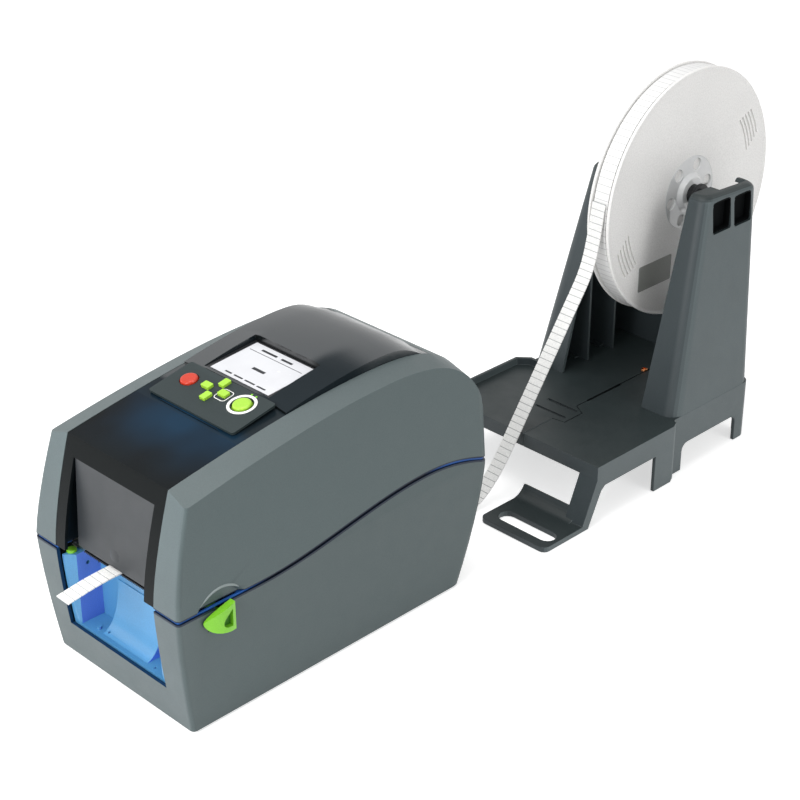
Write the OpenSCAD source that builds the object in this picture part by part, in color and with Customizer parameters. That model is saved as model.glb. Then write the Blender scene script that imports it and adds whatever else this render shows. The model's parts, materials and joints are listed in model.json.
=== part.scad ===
// Desktop thermal transfer printer with a free-standing reel stand.
// Millimetres. X is the width, Y runs from the front to the back, Z is up.
// Drawn with X = 0 in the printer's middle, Y = 0 at its foremost edge and Z = 0 on the desk;
// place() then moves the whole object over the origin.

/* [Printer case] */
// Width of the case at the seam between base and lid
body_w = 140; // [132:1:150]
// Depth of the case at the seam
body_d = 262; // [256:1:270]
// Width of the case at the desk
foot_w = 132; // [126:1:136]
// Wall thickness of base and lid
wall = 2.4; // [2:0.1:3]
// Gap between base and lid, which shows the blue chassis rim
seam_gap = 2; // [1.6:0.1:2.6]
// Radius of the front upright edges
front_r = 3; // [2.5:0.5:5]
// Radius of the rear upright edges
rear_r = 9; // [5:0.5:14]
// Tilt of the bands beside the dark window, in degrees
band_tilt = 16.5; // [12:0.5:19]
// Half-width of the dark window
win_half = 47.7; // [46.5:0.1:50]
// Width of the pillars beside the opening in the front of the base
pillar_w = 22.5; // [20:0.1:23]

/* [Front tray] */
// Half-width inside the tray
tray_half = 40; // [36:0.5:42]
// Height of the tray's floor
tray_floor = 28.5; // [28:0.5:31]
// Width of the curved chute
chute_w = 44; // [30:1:60]

/* [Controls] */
// Half-width of the control plate
plate_half = 39.5; // [38.5:0.1:42]
// Thickness of the control plate
plate_t = 1.6; // [1.2:0.1:1.6]
// Radius of the round stop button
stop_r = 5.7; // [4:0.1:6.2]
// Radius of the round enter button
enter_r = 6; // [5:0.1:6.5]
// Long side of an arrow key
key_long = 7; // [6:0.1:7.2]
// Short side of an arrow key
key_short = 5; // [4:0.1:5.4]
// How far keys and buttons stand above the plate
key_rise = 1.6; // [1.3:0.1:2.4]
// Travel of keys and buttons
key_travel = 1; // [0.6:0.1:1.2]
// Half-width of the screen recess
screen_half = 30; // [24:0.5:32]

/* [Print drive] */
// Radius of the platen roller
platen_r = 8; // [6.5:0.1:8.2]
// Length of the platen roller
platen_len = 66; // [50:1:76]
// Gear module
gear_m = 0.8; // [0.7:0.05:0.8]
// Teeth of the platen gear
platen_teeth = 32; // [28:1:34]
// Teeth of the idler gear
idler_teeth = 40; // [36:1:42]
// Teeth of the motor pinion
pinion_teeth = 14; // [12:1:16]
// Radius of the full ribbon roll
supply_r = 16; // [11:0.5:18]
// Radius of the take-up ribbon roll
takeup_r = 11; // [9.5:0.5:13]
// Width of the ribbon
ribbon_w = 60; // [40:1:64]

/* [Marker strip and reel] */
// Width of the marker strip
strip_w = 12; // [9:0.5:13]
// Thickness of the marker strip
strip_t = 0.9; // [0.7:0.05:1]
// Radius of the reel's flanges
reel_r = 94.4; // [80:0.2:100]
// Depth of the groove that is left between the flanges above the wound strip
groove = 6.4; // [5:0.2:40]
// Inner distance between the flanges
reel_gap = 14.6; // [14.4:0.1:17]
// Radius of the reel's hub
hub_r = 30; // [24:0.5:36]
// Radius of the reel shaft
shaft_r = 5; // [4:0.1:6]

/* [Reel stand] */
// Half-width of the stand's deck
deck_half = 74.3; // [72:0.1:80]
// Height of the deck
deck_z = 46.5; // [42:0.5:52]
// Thickness of the deck, its skirts and legs
deck_t = 2.8; // [2.4:0.1:3.4]
// Height of the towers' tops
tower_top = 203; // [200:0.5:210]
// Wall thickness of the towers
tower_t = 2.6; // [2:0.1:3.2]
// Thickness of the slotted foot plate
foot_t = 4; // [3:0.5:5]

/* [Hidden] */
$fn = 48;

// Colours
grey = [0.36, 0.40, 0.40];
dark = [0.06, 0.07, 0.08];
blue = [0.30, 0.60, 0.85];
lime = [0.52, 0.84, 0.16];
red = [0.85, 0.25, 0.15];
steel = [0.70, 0.71, 0.72];
white = [0.93, 0.93, 0.92];
slate = [0.22, 0.25, 0.26];
rubber = [0.10, 0.10, 0.10];
board = [0.10, 0.35, 0.18];

// Middle of the whole object in the drawing's frame
mid_x = 2.6;
mid_y = 300;

// Case heights
bottom_z = 1.5;
floor_z = bottom_z + 2.5;
seam_front = 84;
seam_rise = 16.2;
split_h = 86.5;
desk_half = foot_w / 2;
inner_half = body_w / 2 - 13;
win_w = win_half - 0.25;
win_t = 2.2;
console_end = 225.7;
seam_end = body_d + 30;
bay_y = body_d - 32;
mouth_half = body_w / 2 - pillar_w;

// Lid hinge
hinge_y = body_d + 3;
hinge_z = 82;
hinge_r = 4.5;
pin_r = 1.8;
fit = 0.05;

// Strip route: yaw turns its upright plane so that it meets the reel's middle
wound_r = reel_r - groove;
reel_x = 6;
reel_y = 533.3;
reel_z = 184.3;
strip_z = 84.25;
strip_x0 = -3;
strip_y0 = 10;
strip_y1 = 470;
strip_yaw = -atan((reel_x - strip_x0) / (strip_y1 - strip_y0));
bend = [357.2, 44.3];
slot_y = body_d - 9;
slot_z = 46.6;
deck_y0 = 56;
deck_y1 = body_d - 14;
media_slope = (81.7 - slot_z) / (slot_y - 62);

// Print drive places, as [y, z]
platen_at = [30.5, strip_z - strip_t / 2 - 0.2 - platen_r];
motor_at = [62, 52];
head_z = strip_z + strip_t / 2 + 0.75;
supply_at = [80, 128];
takeup_at = [42, 126];
side_x = 38.3;

// Control plate frame
plate_y = 88.2;
plate_z = 173.75;
plate_tilt = 11.15;
plate_v = 17.5;
crown_tilt = 8;
crown_x = 25;

// Latches
latch_at = [32, 42];
latch_x = body_w / 2 - 11;
catch_at = [38.8, 90];

function bez(a, b, c, d, n) = [for (i = [0:n]) let (t = i / n, u = 1 - t)
  u*u*u*a + 3*u*u*t*b + 3*u*t*t*c + t*t*t*d];
function smooth(t) = t <= 0 ? 0 : t >= 1 ? 1 : t*t*(3 - 2*t);
fall_y = body_d - 57;
function seam_z(y) = seam_front + seam_rise * smooth((y - 60) / (fall_y - 60))
  - (y > fall_y ? 0.0037 * (y - fall_y) * (y - fall_y) : 0);
function half_w(z) = z < split_h ? desk_half + (body_w/2 - desk_half) * z / split_h
  : body_w/2 - 0.08 * (z - split_h);
function front_y(z) = z < split_h ? 9.5 * pow(1 - z / split_h, 1.5)
  : 15 * pow((z - split_h) / 69, 1.4);
function rear_y(z) = z < 90 ? body_d - 21 * pow(1 - z / 90, 1.6) : body_d;
function arc(c, r, a0, a1, n) = [for (i = [0:n]) let (a = a0 + (a1 - a0) * i / n)
  [c[0] + r * cos(a), c[1] + r * sin(a)]];

// Plan outline of the case at height z, drawn in by t
function ring(z, t) = let (w = half_w(z) - t, f = front_y(z) + t, b = rear_y(z) - t,
  rf = max(0.6, front_r - t), rb = max(0.6, rear_r - t))
  concat(arc([w - rf, f + rf], rf, -90, 0, 3), arc([w - rb, b - rb], rb, 0, 90, 4),
    arc([-w + rb, b - rb], rb, 90, 180, 4), arc([-w + rf, f + rf], rf, 180, 270, 3));

// Roof line of the lid beside the window, and the raised console behind the plate
roof = concat(bez([-5, 154.6], [60, 167.5], [125, 177.8], [180, 177.8], 16),
  [for (p = bez([180, 177.8], [230, 177.8], [body_d + 0.5, 164], [body_d + 0.5, 103], 16))
    if (p[0] > 181) p]);
console = concat([[70, 168.5], [105.8, 175.55], [105.8, 177.15]],
  [for (p = bez([105.8, 177.15], [135, 183], [165, 187.5], [190, 186.4], 10)) if (p[0] > 107) p],
  [for (p = bez([190, 186.4], [206, 186], [217, 178], [console_end + 1, 171], 8))
    if (p[0] > 191) p]);
function lower(pts, t) = [for (p = pts) [p[0], p[1] - t]];
function reverse(pts) = [for (i = [len(pts) - 1:-1:0]) pts[i]];
function under(pts, z) = concat([[pts[0][0], z]], pts, [[pts[len(pts) - 1][0], z]]);
// Same outline for a prism that is turned by a about Y and meets the roof at x
function tilted(pts, a, x) = [for (p = pts) [p[0], cos(a) * (p[1] + x * tan(a))]];

// Strap of thickness t along a line of points
function normal(p, i) = let (a = p[max(0, i - 1)], b = p[min(len(p) - 1, i + 1)], d = b - a)
  [-d[1], d[0]] / norm(d);
function strap(p, t) = concat([for (i = [0:len(p) - 1]) p[i] + normal(p, i) * t / 2],
  [for (i = [len(p) - 1:-1:0]) p[i] - normal(p, i) * t / 2]);

// Tangent from a point to a circle, leaving the circle on its front side
function touch(p, c, r) = let (d = c - p, l = norm(d), a = atan2(d[1], d[0]) + asin(r / l))
  p + sqrt(l*l - r*r) * [cos(a), sin(a)];
leave_r = wound_r + 0.35 + strip_t / 2;
leave_a = 168;
leave = [reel_y, reel_z] + leave_r * [cos(leave_a), sin(leave_a)];
leave_dir = [sin(leave_a), -cos(leave_a)];
rise = [424, 140.5];
run_dir = (rise - bend) / norm(rise - bend);
function media_z(y) = 81.7 - media_slope * (y - 62);
route = concat(bez([-27.5, 80], [-14, 82.4], [0, strip_z], [14, strip_z], 6),
  bez([38, strip_z], [46, strip_z], [54, media_z(54)], [62, media_z(62)], 5),
  bez([slot_y, slot_z], [slot_y + 22, slot_z - 22 * media_slope], [279, 1.5], [304, 1.5], 10),
  [for (p = bez([304, 1.5], [328, 1.5], bend - 22 * run_dir, bend, 8)) if (p[0] > 305) p],
  bez(rise, rise + 22 * run_dir, leave - 24 * leave_dir, leave, 8));

// Involute gear outline with m, n teeth and thinned flanks
function inv(a) = tan(a) - a * PI / 180;
function tooth_half(rho, rb, n, r) = (90 / n - 0.07 / r * 180 / PI
  + (inv(20) - inv(rho <= rb ? 0 : acos(rb / rho))) * 180 / PI);
function gear(m, n) = let (r = m * n / 2, rb = r * cos(20), ro = r + 0.9 * m, ri = r - 1.25 * m,
  f = [ri, max(rb, ri + 0.1), r, (r + ro) / 2, ro])
  [for (k = [0:n - 1]) for (j = [0:9]) let (rho = f[j < 5 ? j : 9 - j],
    h = tooth_half(rho, rb, n, r), a = k * 360 / n + (j < 5 ? -h : h)) rho * [cos(a), sin(a)]];

// Gear centres and phases
reach_a = gear_m * (platen_teeth + idler_teeth) / 2;
reach_b = gear_m * (idler_teeth + pinion_teeth) / 2;
span = motor_at - platen_at;
span_l = norm(span);
along = (reach_a*reach_a - reach_b*reach_b + span_l*span_l) / (2 * span_l);
aside = sqrt(reach_a*reach_a - along*along);
idler_at = platen_at + along * span / span_l + aside * [span[1], -span[0]] / span_l;
to_idler = atan2(idler_at[1] - platen_at[1], idler_at[0] - platen_at[0]);
to_motor = atan2(motor_at[1] - idler_at[1], motor_at[0] - idler_at[0]);
idler_turn = to_idler + 180 - 180 / idler_teeth;
idler_phase = (to_motor - idler_turn) * idler_teeth / 360;
pinion_turn = to_motor + 180 - (0.5 - idler_phase) * 360 / pinion_teeth;
echo(idler_at = idler_at, strip_leaves = leave, strip_yaw = strip_yaw);

// Winding: one outer turn of strip over a plain core
turn_step = strip_t + 0.6;
winding = [for (i = [0:72]) let (a = leave_a + 4 + 5 * i,
  r = wound_r - strip_t / 2 - turn_step * (1 - i / 72)) r * [cos(a), sin(a)]];
echo(winding_gap = norm(winding[72]) - norm(winding[0]) - strip_t);

// Moves every piece so that the middle of the whole object's underside is the origin
module place() {
  translate([-mid_x, -mid_y, 0]) children();
}
module prism_x(pts, x0, x1) {
  translate([x0, 0, 0]) rotate([90, 0, 90]) linear_extrude(x1 - x0) polygon(pts);
}
module box(x0, x1, y0, y1, z0, z1) {
  translate([x0, y0, z0]) cube([x1 - x0, y1 - y0, z1 - z0]);
}
module rod(at, r, x0, x1) {
  translate([x0, at[0], at[1]]) rotate([0, 90, 0]) cylinder(r = r, h = x1 - x0);
}
module both() {
  children();
  mirror([1, 0, 0]) children();
}
module slab(x, y, z, r) {
  linear_extrude(z) polygon(concat(arc([x - r, y - r], r, 0, 90, 5), arc([r - x, y - r], r, 90, 180, 5),
    arc([r - x, r - y], r, 180, 270, 5), arc([x - r, r - y], r, 270, 360, 5)));
}

// Closed loft through rings of points
module loft(rows) {
  n = len(rows[0]);
  m = len(rows);
  polyhedron(
    points = [for (r = rows) each r],
    faces = concat([[for (i = [0:n - 1]) i]], [[for (i = [n - 1:-1:0]) (m - 1) * n + i]],
      [for (j = [0:m - 2]) for (i = [0:n - 1]) let (k = (i + 1) % n)
        each [[j*n + i, (j + 1)*n + i, (j + 1)*n + k], [j*n + i, (j + 1)*n + k, j*n + k]]]));
}

// Case walls between the given heights, drawn in by t
module walls(t, zs) {
  loft([for (z = zs) [for (p = ring(z, t)) [p[0], p[1], z]]]);
}
base_zs = [0, 14, 28, 42, 56, 70, 80, 86.5, 92, 110];
lid_zs = [74, 86.5, 96, 106, 117, 129, 142, 156, 172, 195];
seam_ys = [for (i = [0:39]) -20 + (seam_end + 20) * i / 39];

module below_seam(dz, z0) {
  prism_x(concat([for (y = seam_ys) [y, seam_z(y) + dz]], [[seam_end, z0], [-20, z0]]), -100, 100);
}

module base_shell() color(grey) place() {
  difference() {
    intersection() {
      walls(0, base_zs);
      below_seam(0, bottom_z);
    }
    difference() {
      walls(wall, base_zs);
      box(-100, 100, -20, seam_end, -5, floor_z);
      // ribs that carry the front tray and posts that carry the board
      both() box(28, 33, 8, 26, 0, 25);
      for (y = [104, bay_y - 16]) both() translate([46, y, 0]) cylinder(r = 3.2, h = 12);
      both() rod(latch_at, 5, latch_x + 3.4, 80);
    }
    box(-mouth_half, mouth_half, -20, 12, 27, 120);
    // holes for the latch pins, notches for the latch levers
    both() rod(latch_at, 2, latch_x + 3, latch_x + 6.5);
    both() box(body_w/2 - 12, 90, 22, 36, 69.4, 80);
    both() box(body_w/2 - 12, 90, 27.6, 35, 69.4, 120);
    // slot for the strip and bay for the connectors at the back
    box(-16, 20, slot_y - 6, body_d + 20, slot_z - 5.5, slot_z + 9);
    box(-4.2, 62.2, bay_y - 4, seam_end, 8.8, 37.2);
    rod([hinge_y, hinge_z], hinge_r + 0.6, -58, 58);
    // cooling slots, screw seats and foot seats underneath
    for (i = [0:8]) box(-24, 24, 96 + i * 9, 99.5 + i * 9, -5, floor_z + 5);
    for (y = [36, 206]) both() translate([40, y, -1]) cylinder(r = 3.4, h = 3.7);
    for (y = [36, 206]) both() translate([40, y, -1]) cylinder(r = 1.6, h = 9);
    for (y = [26, 218]) both() translate([52, y, -1]) cylinder(r = 7.2, h = 3.4);
  }
}

module chassis() color(blue) place() {
  top = [for (y = seam_ys) if (y > 50 && y < deck_y1) y];
  difference() {
    union() {
      // rim that shows in the seam
      difference() {
        intersection() {
          walls(1.2, base_zs);
          difference() {
            below_seam(1.3, 60);
            below_seam(0, 50);
          }
        }
        box(-inner_half, inner_half, 12, deck_y1, 60, 120);
        box(-mouth_half, mouth_half, -20, 14, 60, 120);
        both() box(inner_half - 1, body_w/2 - 2.6, 16, 46, 60, 120);
      }
      // side walls, sloped media deck and rear wall
      both() prism_x(concat([[50, media_z(50) - 3.4]], [[50, seam_z(50) + 0.2]],
        [for (y = top) [y, seam_z(y) + 0.2]], [[deck_y1, seam_z(deck_y1) + 0.2]],
        [[deck_y1, media_z(deck_y1) - 3.4]]), inner_half - 2, inner_half + 0.2);
      prism_x([[deck_y0, media_z(deck_y0) - 3.2], [deck_y0, media_z(deck_y0) - 1.2],
        [deck_y1, media_z(deck_y1) - 1.2], [deck_y1, media_z(deck_y1) - 3.2]],
        -inner_half + 1, inner_half - 1);
      box(-inner_half + 1, inner_half - 1, deck_y1 - 2, deck_y1, slot_z - 1, seam_z(deck_y1) + 0.2);
      // ribs under the strip
      for (x = [-24, -14, 10, 20]) prism_x([[64, media_z(64) - 1.4], [64, media_z(64) - 0.9],
        [112, media_z(112) - 0.9], [112, media_z(112) - 1.4]], x - 0.8, x + 0.8);
    }
    box(-14, 18, deck_y1 - 10, deck_y1 + 10, slot_z - 1.2, slot_z + 9);
    rod([132, media_z(132) + 7], 2, -inner_half - 3, inner_half + 3);
  }
}

module front_tray() color(blue) place() {
  front = [for (z = [25:6:79]) [front_y(z) + wall + 0.5, z]];
  back = tray_floor - 1;
  difference() {
    union() {
      difference() {
        prism_x(concat(front, [[24.5, 79], [24.5, 66], [29, 66], [29, 25]]),
          -mouth_half + 1, mouth_half - 1);
        // hollow, flared at the front edge
        translate([0, 0, tray_floor]) linear_extrude(80) polygon([[-mouth_half + 2, -5],
          [mouth_half - 2, -5], [mouth_half - 2, 3.6], [tray_half, 9], [tray_half, 26],
          [-tray_half, 26], [-tray_half, 9], [-mouth_half + 2, 3.6]]);
      }
      // curved chute that sweeps from the back wall to the floor
      prism_x(concat(bez([9, tray_floor - 0.5], [19, tray_floor + 1], [24.5, 40], [25.4, 62], 12),
        [[27, 62], [27, tray_floor - 0.5]]), -chute_w/2, chute_w/2);
      translate([-28, 13, back]) cylinder(r = 1.3, h = 2.6);
    }
    for (p = [[-19, 14], [29, 12]]) translate([p[0], p[1], 20]) cylinder(r = 0.8, h = 12);
    rod([17, 70], 1.3, -50, -tray_half + 5);
  }
}

module base_feet() color(rubber) place() {
  for (y = [26, 218]) both() translate([52, y, 0]) cylinder(r1 = 6.4, r2 = 7, h = 2.4);
}

module base_screws() color(steel) place() {
  for (y = [36, 206]) both() translate([40, y, 0.9]) difference() {
    union() {
      cylinder(r = 2.9, h = 1.8);
      cylinder(r = 1.5, h = 7);
    }
    box(-2, 2, -0.35, 0.35, -1, 0.9);
    box(-0.35, 0.35, -2, 2, -1, 0.9);
  }
}

module platen_frame() color(steel) place() {
  x0 = mouth_half + 0.4;
  difference() {
    union() {
      prism_x([[22, 62], [22, 82], [40, 82], [54, 76], [82, 70], [82, floor_z], [52, floor_z],
        [52, 28], [32, 28], [32, 62]], -x0 - 2.6, -x0);
      prism_x([[22, 62], [22, 82], [40, 82], [56, 74], [60, 62], [60, floor_z], [46, floor_z],
        [46, 60]], x0, x0 + 2.6);
      box(-x0, x0, 44, 54, 70.6, 72.6);
      // front crossbeam that carries the tear bar
      box(-x0 - 2.6, x0 + 2.6, 14.5, 20.5, 79.4, 81.2);
      both() box(x0, x0 + 2.6, 14.5, 23, 79.4, 82);
      // stud of the idler gear
      rod(idler_at, 2, -x0 - 8.4, -x0 - 2);
    }
    both() rod(platen_at, 6, 40, 60);
    rod(motor_at, 11.2, -60, -40);
  }
}

module platen_bearings() color([0.15, 0.15, 0.16]) place() both() {
  difference() {
    union() {
      rod(platen_at, 5.9, mouth_half + 0.4, mouth_half + 3.4);
      rod(platen_at, 7, mouth_half - 0.7, mouth_half + 0.4);
    }
    rod(platen_at, 3 + fit, 30, 70);
  }
}

module platen_shaft() color(steel) place() {
  rod(platen_at, 3, -mouth_half - 11, mouth_half + 4.2);
  rod(platen_at, 4, -platen_len/2, platen_len/2);
}

module platen_roller() color(rubber) place() difference() {
  rod(platen_at, platen_r, -platen_len/2, platen_len/2);
  rod(platen_at, 4, -50, 50);
}

module wheel(at, n, turn, bore, x0, x1) {
  translate([x0, at[0], at[1]]) rotate([90, 0, 90]) rotate(turn) linear_extrude(x1 - x0) difference() {
    polygon(gear(gear_m, n));
    circle(r = bore);
    if (n > 24) for (i = [0:4]) rotate(i * 72) translate([gear_m * n * 0.31, 0])
      circle(r = gear_m * n * 0.09);
  }
}

module platen_gear() color(white) place() {
  wheel(platen_at, platen_teeth, to_idler, 3, -mouth_half - 8.2, -mouth_half - 3.9);
}

module idler_gear() color(white) place() {
  wheel(idler_at, idler_teeth, idler_turn, 2 + fit, -mouth_half - 8.2, -mouth_half - 3.9);
}

module drive_motor() color([0.16, 0.16, 0.17]) place() difference() {
  union() {
    rod(motor_at, 17.5, -mouth_half - 0.4, -mouth_half + 20);
    translate([-mouth_half - 0.4, motor_at[0], motor_at[1]]) rotate([90, 0, 90]) slab(21, 7, 1.2, 3);
    rod(motor_at, 11, -mouth_half - 3, -mouth_half - 0.4);
  }
  rod(motor_at, 2, -mouth_half - 12, -mouth_half + 7.5);
  for (s = [-1, 1]) rod(motor_at + [s * 17.8, 0], 1.7, -mouth_half - 2, -mouth_half + 4);
}

module motor_pinion() color([0.80, 0.66, 0.32]) place() {
  wheel(motor_at, pinion_teeth, pinion_turn, 1, -mouth_half - 8.2, -mouth_half - 3.9);
  rod(motor_at, 1.95, -mouth_half - 8.6, -mouth_half + 7);
}

module tear_bar() color(steel) place() {
  // toothed blade on the crossbeam
  translate([0, 0, 81.2]) linear_extrude(1) polygon(concat([[-36, 20], [-36, 12.8]],
    [for (i = [0:47]) each [[-36 + 1.5 * i + 0.75, 11.8], [-36 + 1.5 * (i + 1), 12.8]]], [[36, 20]]));
}

guide_at = [132, media_z(132) + 7];
strip_mid = strip_x0 - (guide_at[0] - strip_y0) * tan(strip_yaw);
module guide_rod() color(steel) place() rod(guide_at, 2, -inner_half - 0.1, inner_half + 0.1);

// Media guide to the right of the strip; the left one is its mirror image
module guide(x) {
  lift = 0.7;
  difference() {
    union() {
      prism_x([[114, media_z(114) - lift], [150, media_z(150) - lift], [150, media_z(150) + 8],
        [144, media_z(144) + 11], [120, media_z(120) + 11], [114, media_z(114) + 8]], x, x + 1.8);
      prism_x([[114, media_z(114) - lift], [150, media_z(150) - lift], [150, media_z(150) + 0.9],
        [114, media_z(114) + 0.9]], x, x + 15);
      prism_x([[126, media_z(126)], [138, media_z(138)], [137, guide_at[1] + 4],
        [127, guide_at[1] + 4]], x, x + 9);
    }
    rod(guide_at, 2 + fit, x - 1, x + 20);
  }
}
module guide_right() color(blue) place() translate([strip_mid, 0, 0]) guide(strip_w/2 + 0.9);
module guide_left() color(blue) place() translate([strip_mid, 0, 0]) mirror([1, 0, 0]) guide(strip_w/2 + 0.9);

module main_board() color(board) place() difference() {
  union() {
    box(-52, 58, 92, bay_y + 2, 12, 13.6);
    box(-44, -26, 110, 136, 13.6, 17);
    box(-16, 0, 112, 128, 13.6, 15.6);
    box(10, 22, 112, 120, 13.6, 19);
    for (x = [-38, -26, -14]) translate([x, 180, 13.6]) cylinder(r = 4, h = 12);
    box(-40, -8, 140, 144, 13.6, 21);
  }
  for (y = [104, bay_y - 16]) both() translate([46, y, 0]) cylinder(r = 1.4, h = 20);
}

// Connector bay in the back of the base
module rear_panel() color(dark) place() difference() {
  intersection() {
    walls(0.4, base_zs);
    box(-4, 62, bay_y, seam_end, 9, 37);
  }
  box(-2.2, 60.2, bay_y + 6, seam_end, 10.8, 35.2);
  translate([0, bay_y, 0]) {
    box(-0.3, 16.3, -30, 10, 13.4, 28.3);
    box(20.7, 33.3, -30, 10, 13.4, 25.8);
    box(36.7, 47.3, -30, 10, 13.4, 26.3);
    box(50.2, 59.2, -30, 10, 13.2, 33);
    box(-10, 70, -30, 2, 0, 14);
  }
}

module rear_sockets() color([0.12, 0.12, 0.13]) place() translate([0, bay_y, 0]) {
  difference() {
    box(0, 16, -14, 7, 13.6, 28);
    box(2, 14, -6, 10, 16, 23);
    box(5, 11, -6, 10, 22, 25.5);
  }
  difference() {
    box(21, 33, -12, 7, 13.6, 25.5);
    translate([27, 10, 19.3]) rotate([90, 0, 0]) linear_extrude(14)
      polygon([[-4.2, -3.7], [4.2, -3.7], [4.2, 2.2], [2.8, 3.7], [-2.8, 3.7], [-4.2, 2.2]]);
  }
  difference() {
    box(37, 47, -8, 7, 13.6, 26);
    translate([42, 20, 19.8]) rotate([90, 0, 0]) cylinder(r = 3.2, h = 22);
  }
  translate([42, 5, 19.8]) rotate([90, 0, 0]) cylinder(r = 1, h = 8);
}

// Rocker that tips about a level axis in the panel
module power_switch() color(rubber) place() {
  translate([50.6, bay_y + 2.6, 23.1]) rotate([90, 0, 90]) linear_extrude(8.2) {
    circle(r = 3);
    polygon([[1, -2.8], [3.2, -8.8], [5.6, -8.9], [4.6, 0], [6.8, 8.8], [4.4, 8.8], [1, 2.8]]);
  }
}

// Latch lever: arm on a pin, hook that reaches up into the lid, tab outside the case
module latch() {
  tab = concat(bez([38.8, 66.8], [29, 67.2], [18.4, 70.8], [17.8, 77.3], 8),
    bez([17.7, 78], [18.4, 81], [30.6, 83.8], [38.7, 85.8], 8));
  pocket = concat(bez([36.4, 82.2], [33, 79.4], [28.6, 76.6], [29.4, 73.4], 6),
    bez([29.6, 72.8], [31, 70.6], [34, 70.2], [36.4, 70.4], 5));
  x1 = body_w/2 + 0.6;
  difference() {
    union() {
      prism_x(concat(arc(latch_at, 4.6, 180, 360, 10), [[35.2, 70], [34.6, 88], [33.6, 91.6],
        [36.2, 92.6], [33, 95.6], [29.6, 93], [28.4, 80]]), latch_x, latch_x + 2.2);
      prism_x([[28.4, 71], [34, 71], [34, 79], [28.4, 79]], latch_x + 1, x1 + 1);
      intersection() {
        prism_x(tab, x1, x1 + 6);
        translate([x1 - 21, 32, 50]) cylinder(r = 26, h = 60, $fn = 96);
      }
    }
    rod(latch_at, 2 + fit, 40, 80);
    // finger pocket
    prism_x(pocket, x1 + 1.6, x1 + 9);
  }
}
module latch_right() color(lime) place() latch();
module latch_left() color(lime) place() mirror([1, 0, 0]) latch();

module latch_pins() color(steel) place() both() rod(latch_at, 2, latch_x - 0.7, latch_x + 6.4);

module hinge_block() color(dark) place() difference() {
  union() {
    rod([hinge_y, hinge_z], hinge_r, -38, 38);
    prism_x([[hinge_y - 14, 76], [hinge_y - 2, 78], [hinge_y - 1, 86], [hinge_y - 14, 86.8]], -38, 38);
  }
  rod([hinge_y, hinge_z], pin_r, -60, 60);
  walls(-0.02, base_zs);
}

module hinge_pin() color(steel) place() rod([hinge_y, hinge_z], pin_r, -53.5, 53.5);

// Half-space under the tilted band on one side
module band(t, s) {
  rotate([0, s * band_tilt, 0])
    prism_x(under(tilted(lower(roof, t), band_tilt, win_half), -60), -300, 300);
}

module lid_solid(t) {
  intersection() {
    walls(t, lid_zs);
    prism_x(under(lower(roof, t), 40), -100, 100);
    band(t, 1);
    band(t, -1);
  }
}

module lid_shell() color(grey) place() {
  difference() {
    union() {
      difference() {
        lid_solid(0);
        lid_solid(wall);
      }
      // backing of the finger scoops
      intersection() {
        lid_solid(0.5);
        both() rod([32.5, 75.8], 23.6, half_w(90) - 6.4, 90);
      }
    }
    below_seam(seam_gap, 20);
    box(-win_half, win_half, -20, console_end + 0.3, 60, 220);
    // finger scoops above the latch tabs
    both() translate([half_w(90) - 2.6, 32.5, 75.8]) rotate([0, 90, 0])
      cylinder(r1 = 18, r2 = 23.2, h = 5, $fn = 96);
    // seats for the catches
    both() rod(catch_at, 2, latch_x - 1, half_w(89) - 3.9);
  }
}

module latch_catches() color(steel) place() both() rod(catch_at, 2, latch_x - 0.5, half_w(89) - 3.9);

module lid_hinge_arms() color(dark) place() both() difference() {
  union() {
    rod([hinge_y, hinge_z], hinge_r, 39, 53);
    difference() {
      prism_x([[hinge_y - 4.4, hinge_z], [hinge_y + 4.4, hinge_z], [hinge_y + 1, 104], [hinge_y - 6, 104]],
        39, 53);
      walls(-0.02, lid_zs);
    }
  }
  rod([hinge_y, hinge_z], pin_r + fit, 30, 60);
}

// Half-space under one sloping side of the console
module crown(t, s) {
  rotate([0, s * crown_tilt, 0])
    prism_x(under(tilted(lower(console, t), crown_tilt, crown_x), -60), -300, 300);
}

module window_block(t) {
  intersection() {
    walls(0.2 + t, lid_zs);
    union() {
      prism_x(under(lower(roof, 0.1 + t), 40), -win_w + t, win_w - t);
      intersection() {
        prism_x(under(lower(console, t), 40), -win_w + t, win_w - t);
        crown(t, 1);
        crown(t, -1);
      }
    }
    box(-win_w + t, win_w - t, -20, console_end, 60, 220);
  }
}

module on_plate() {
  translate([0, plate_y, plate_z]) rotate([plate_tilt, 0, 0]) children();
}

ledge = [for (p = roof) if (p[0] > 30 && p[0] < 220) p];
module top_window() color(dark) place() {
  difference() {
    union() {
      difference() {
        window_block(0);
        window_block(win_t);
        // only a short skirt behind the front frame
        prism_x(concat([[26, 40], [26, 154]], lower([for (p = roof) if (p[0] > 26 && p[0] < 240) p], 5.4),
          [[260, 40]]), -80, 80);
      }
      // flanges that hold the window under the edges of the lid's opening
      both() prism_x(concat(lower(ledge, 3.8), reverse(lower(ledge, 5.2))), win_w - 1.2, win_half + 3.2);
      intersection() {
        window_block(0);
        box(-screen_half - 2, screen_half + 2, 106, 151.4, 173, 200);
      }
    }
    box(-screen_half, screen_half, 107.6, 149.6, 150, 200);
    box(-38.5, 38.5, -20, 30, 60, 146.5);
    below_seam(seam_gap + 0.4, 20);
    on_plate() box(-plate_half + 3.5, plate_half - 3.5, -15, 17.1, -8, 2);
  }
}

// Places of the controls on the plate, as [x, v]
stop_at = [-25.5, 3.8];
pad_at = [-2.6, 5.6];
enter_at = [22.5, 5];
pad_step = 7.7;

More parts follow.
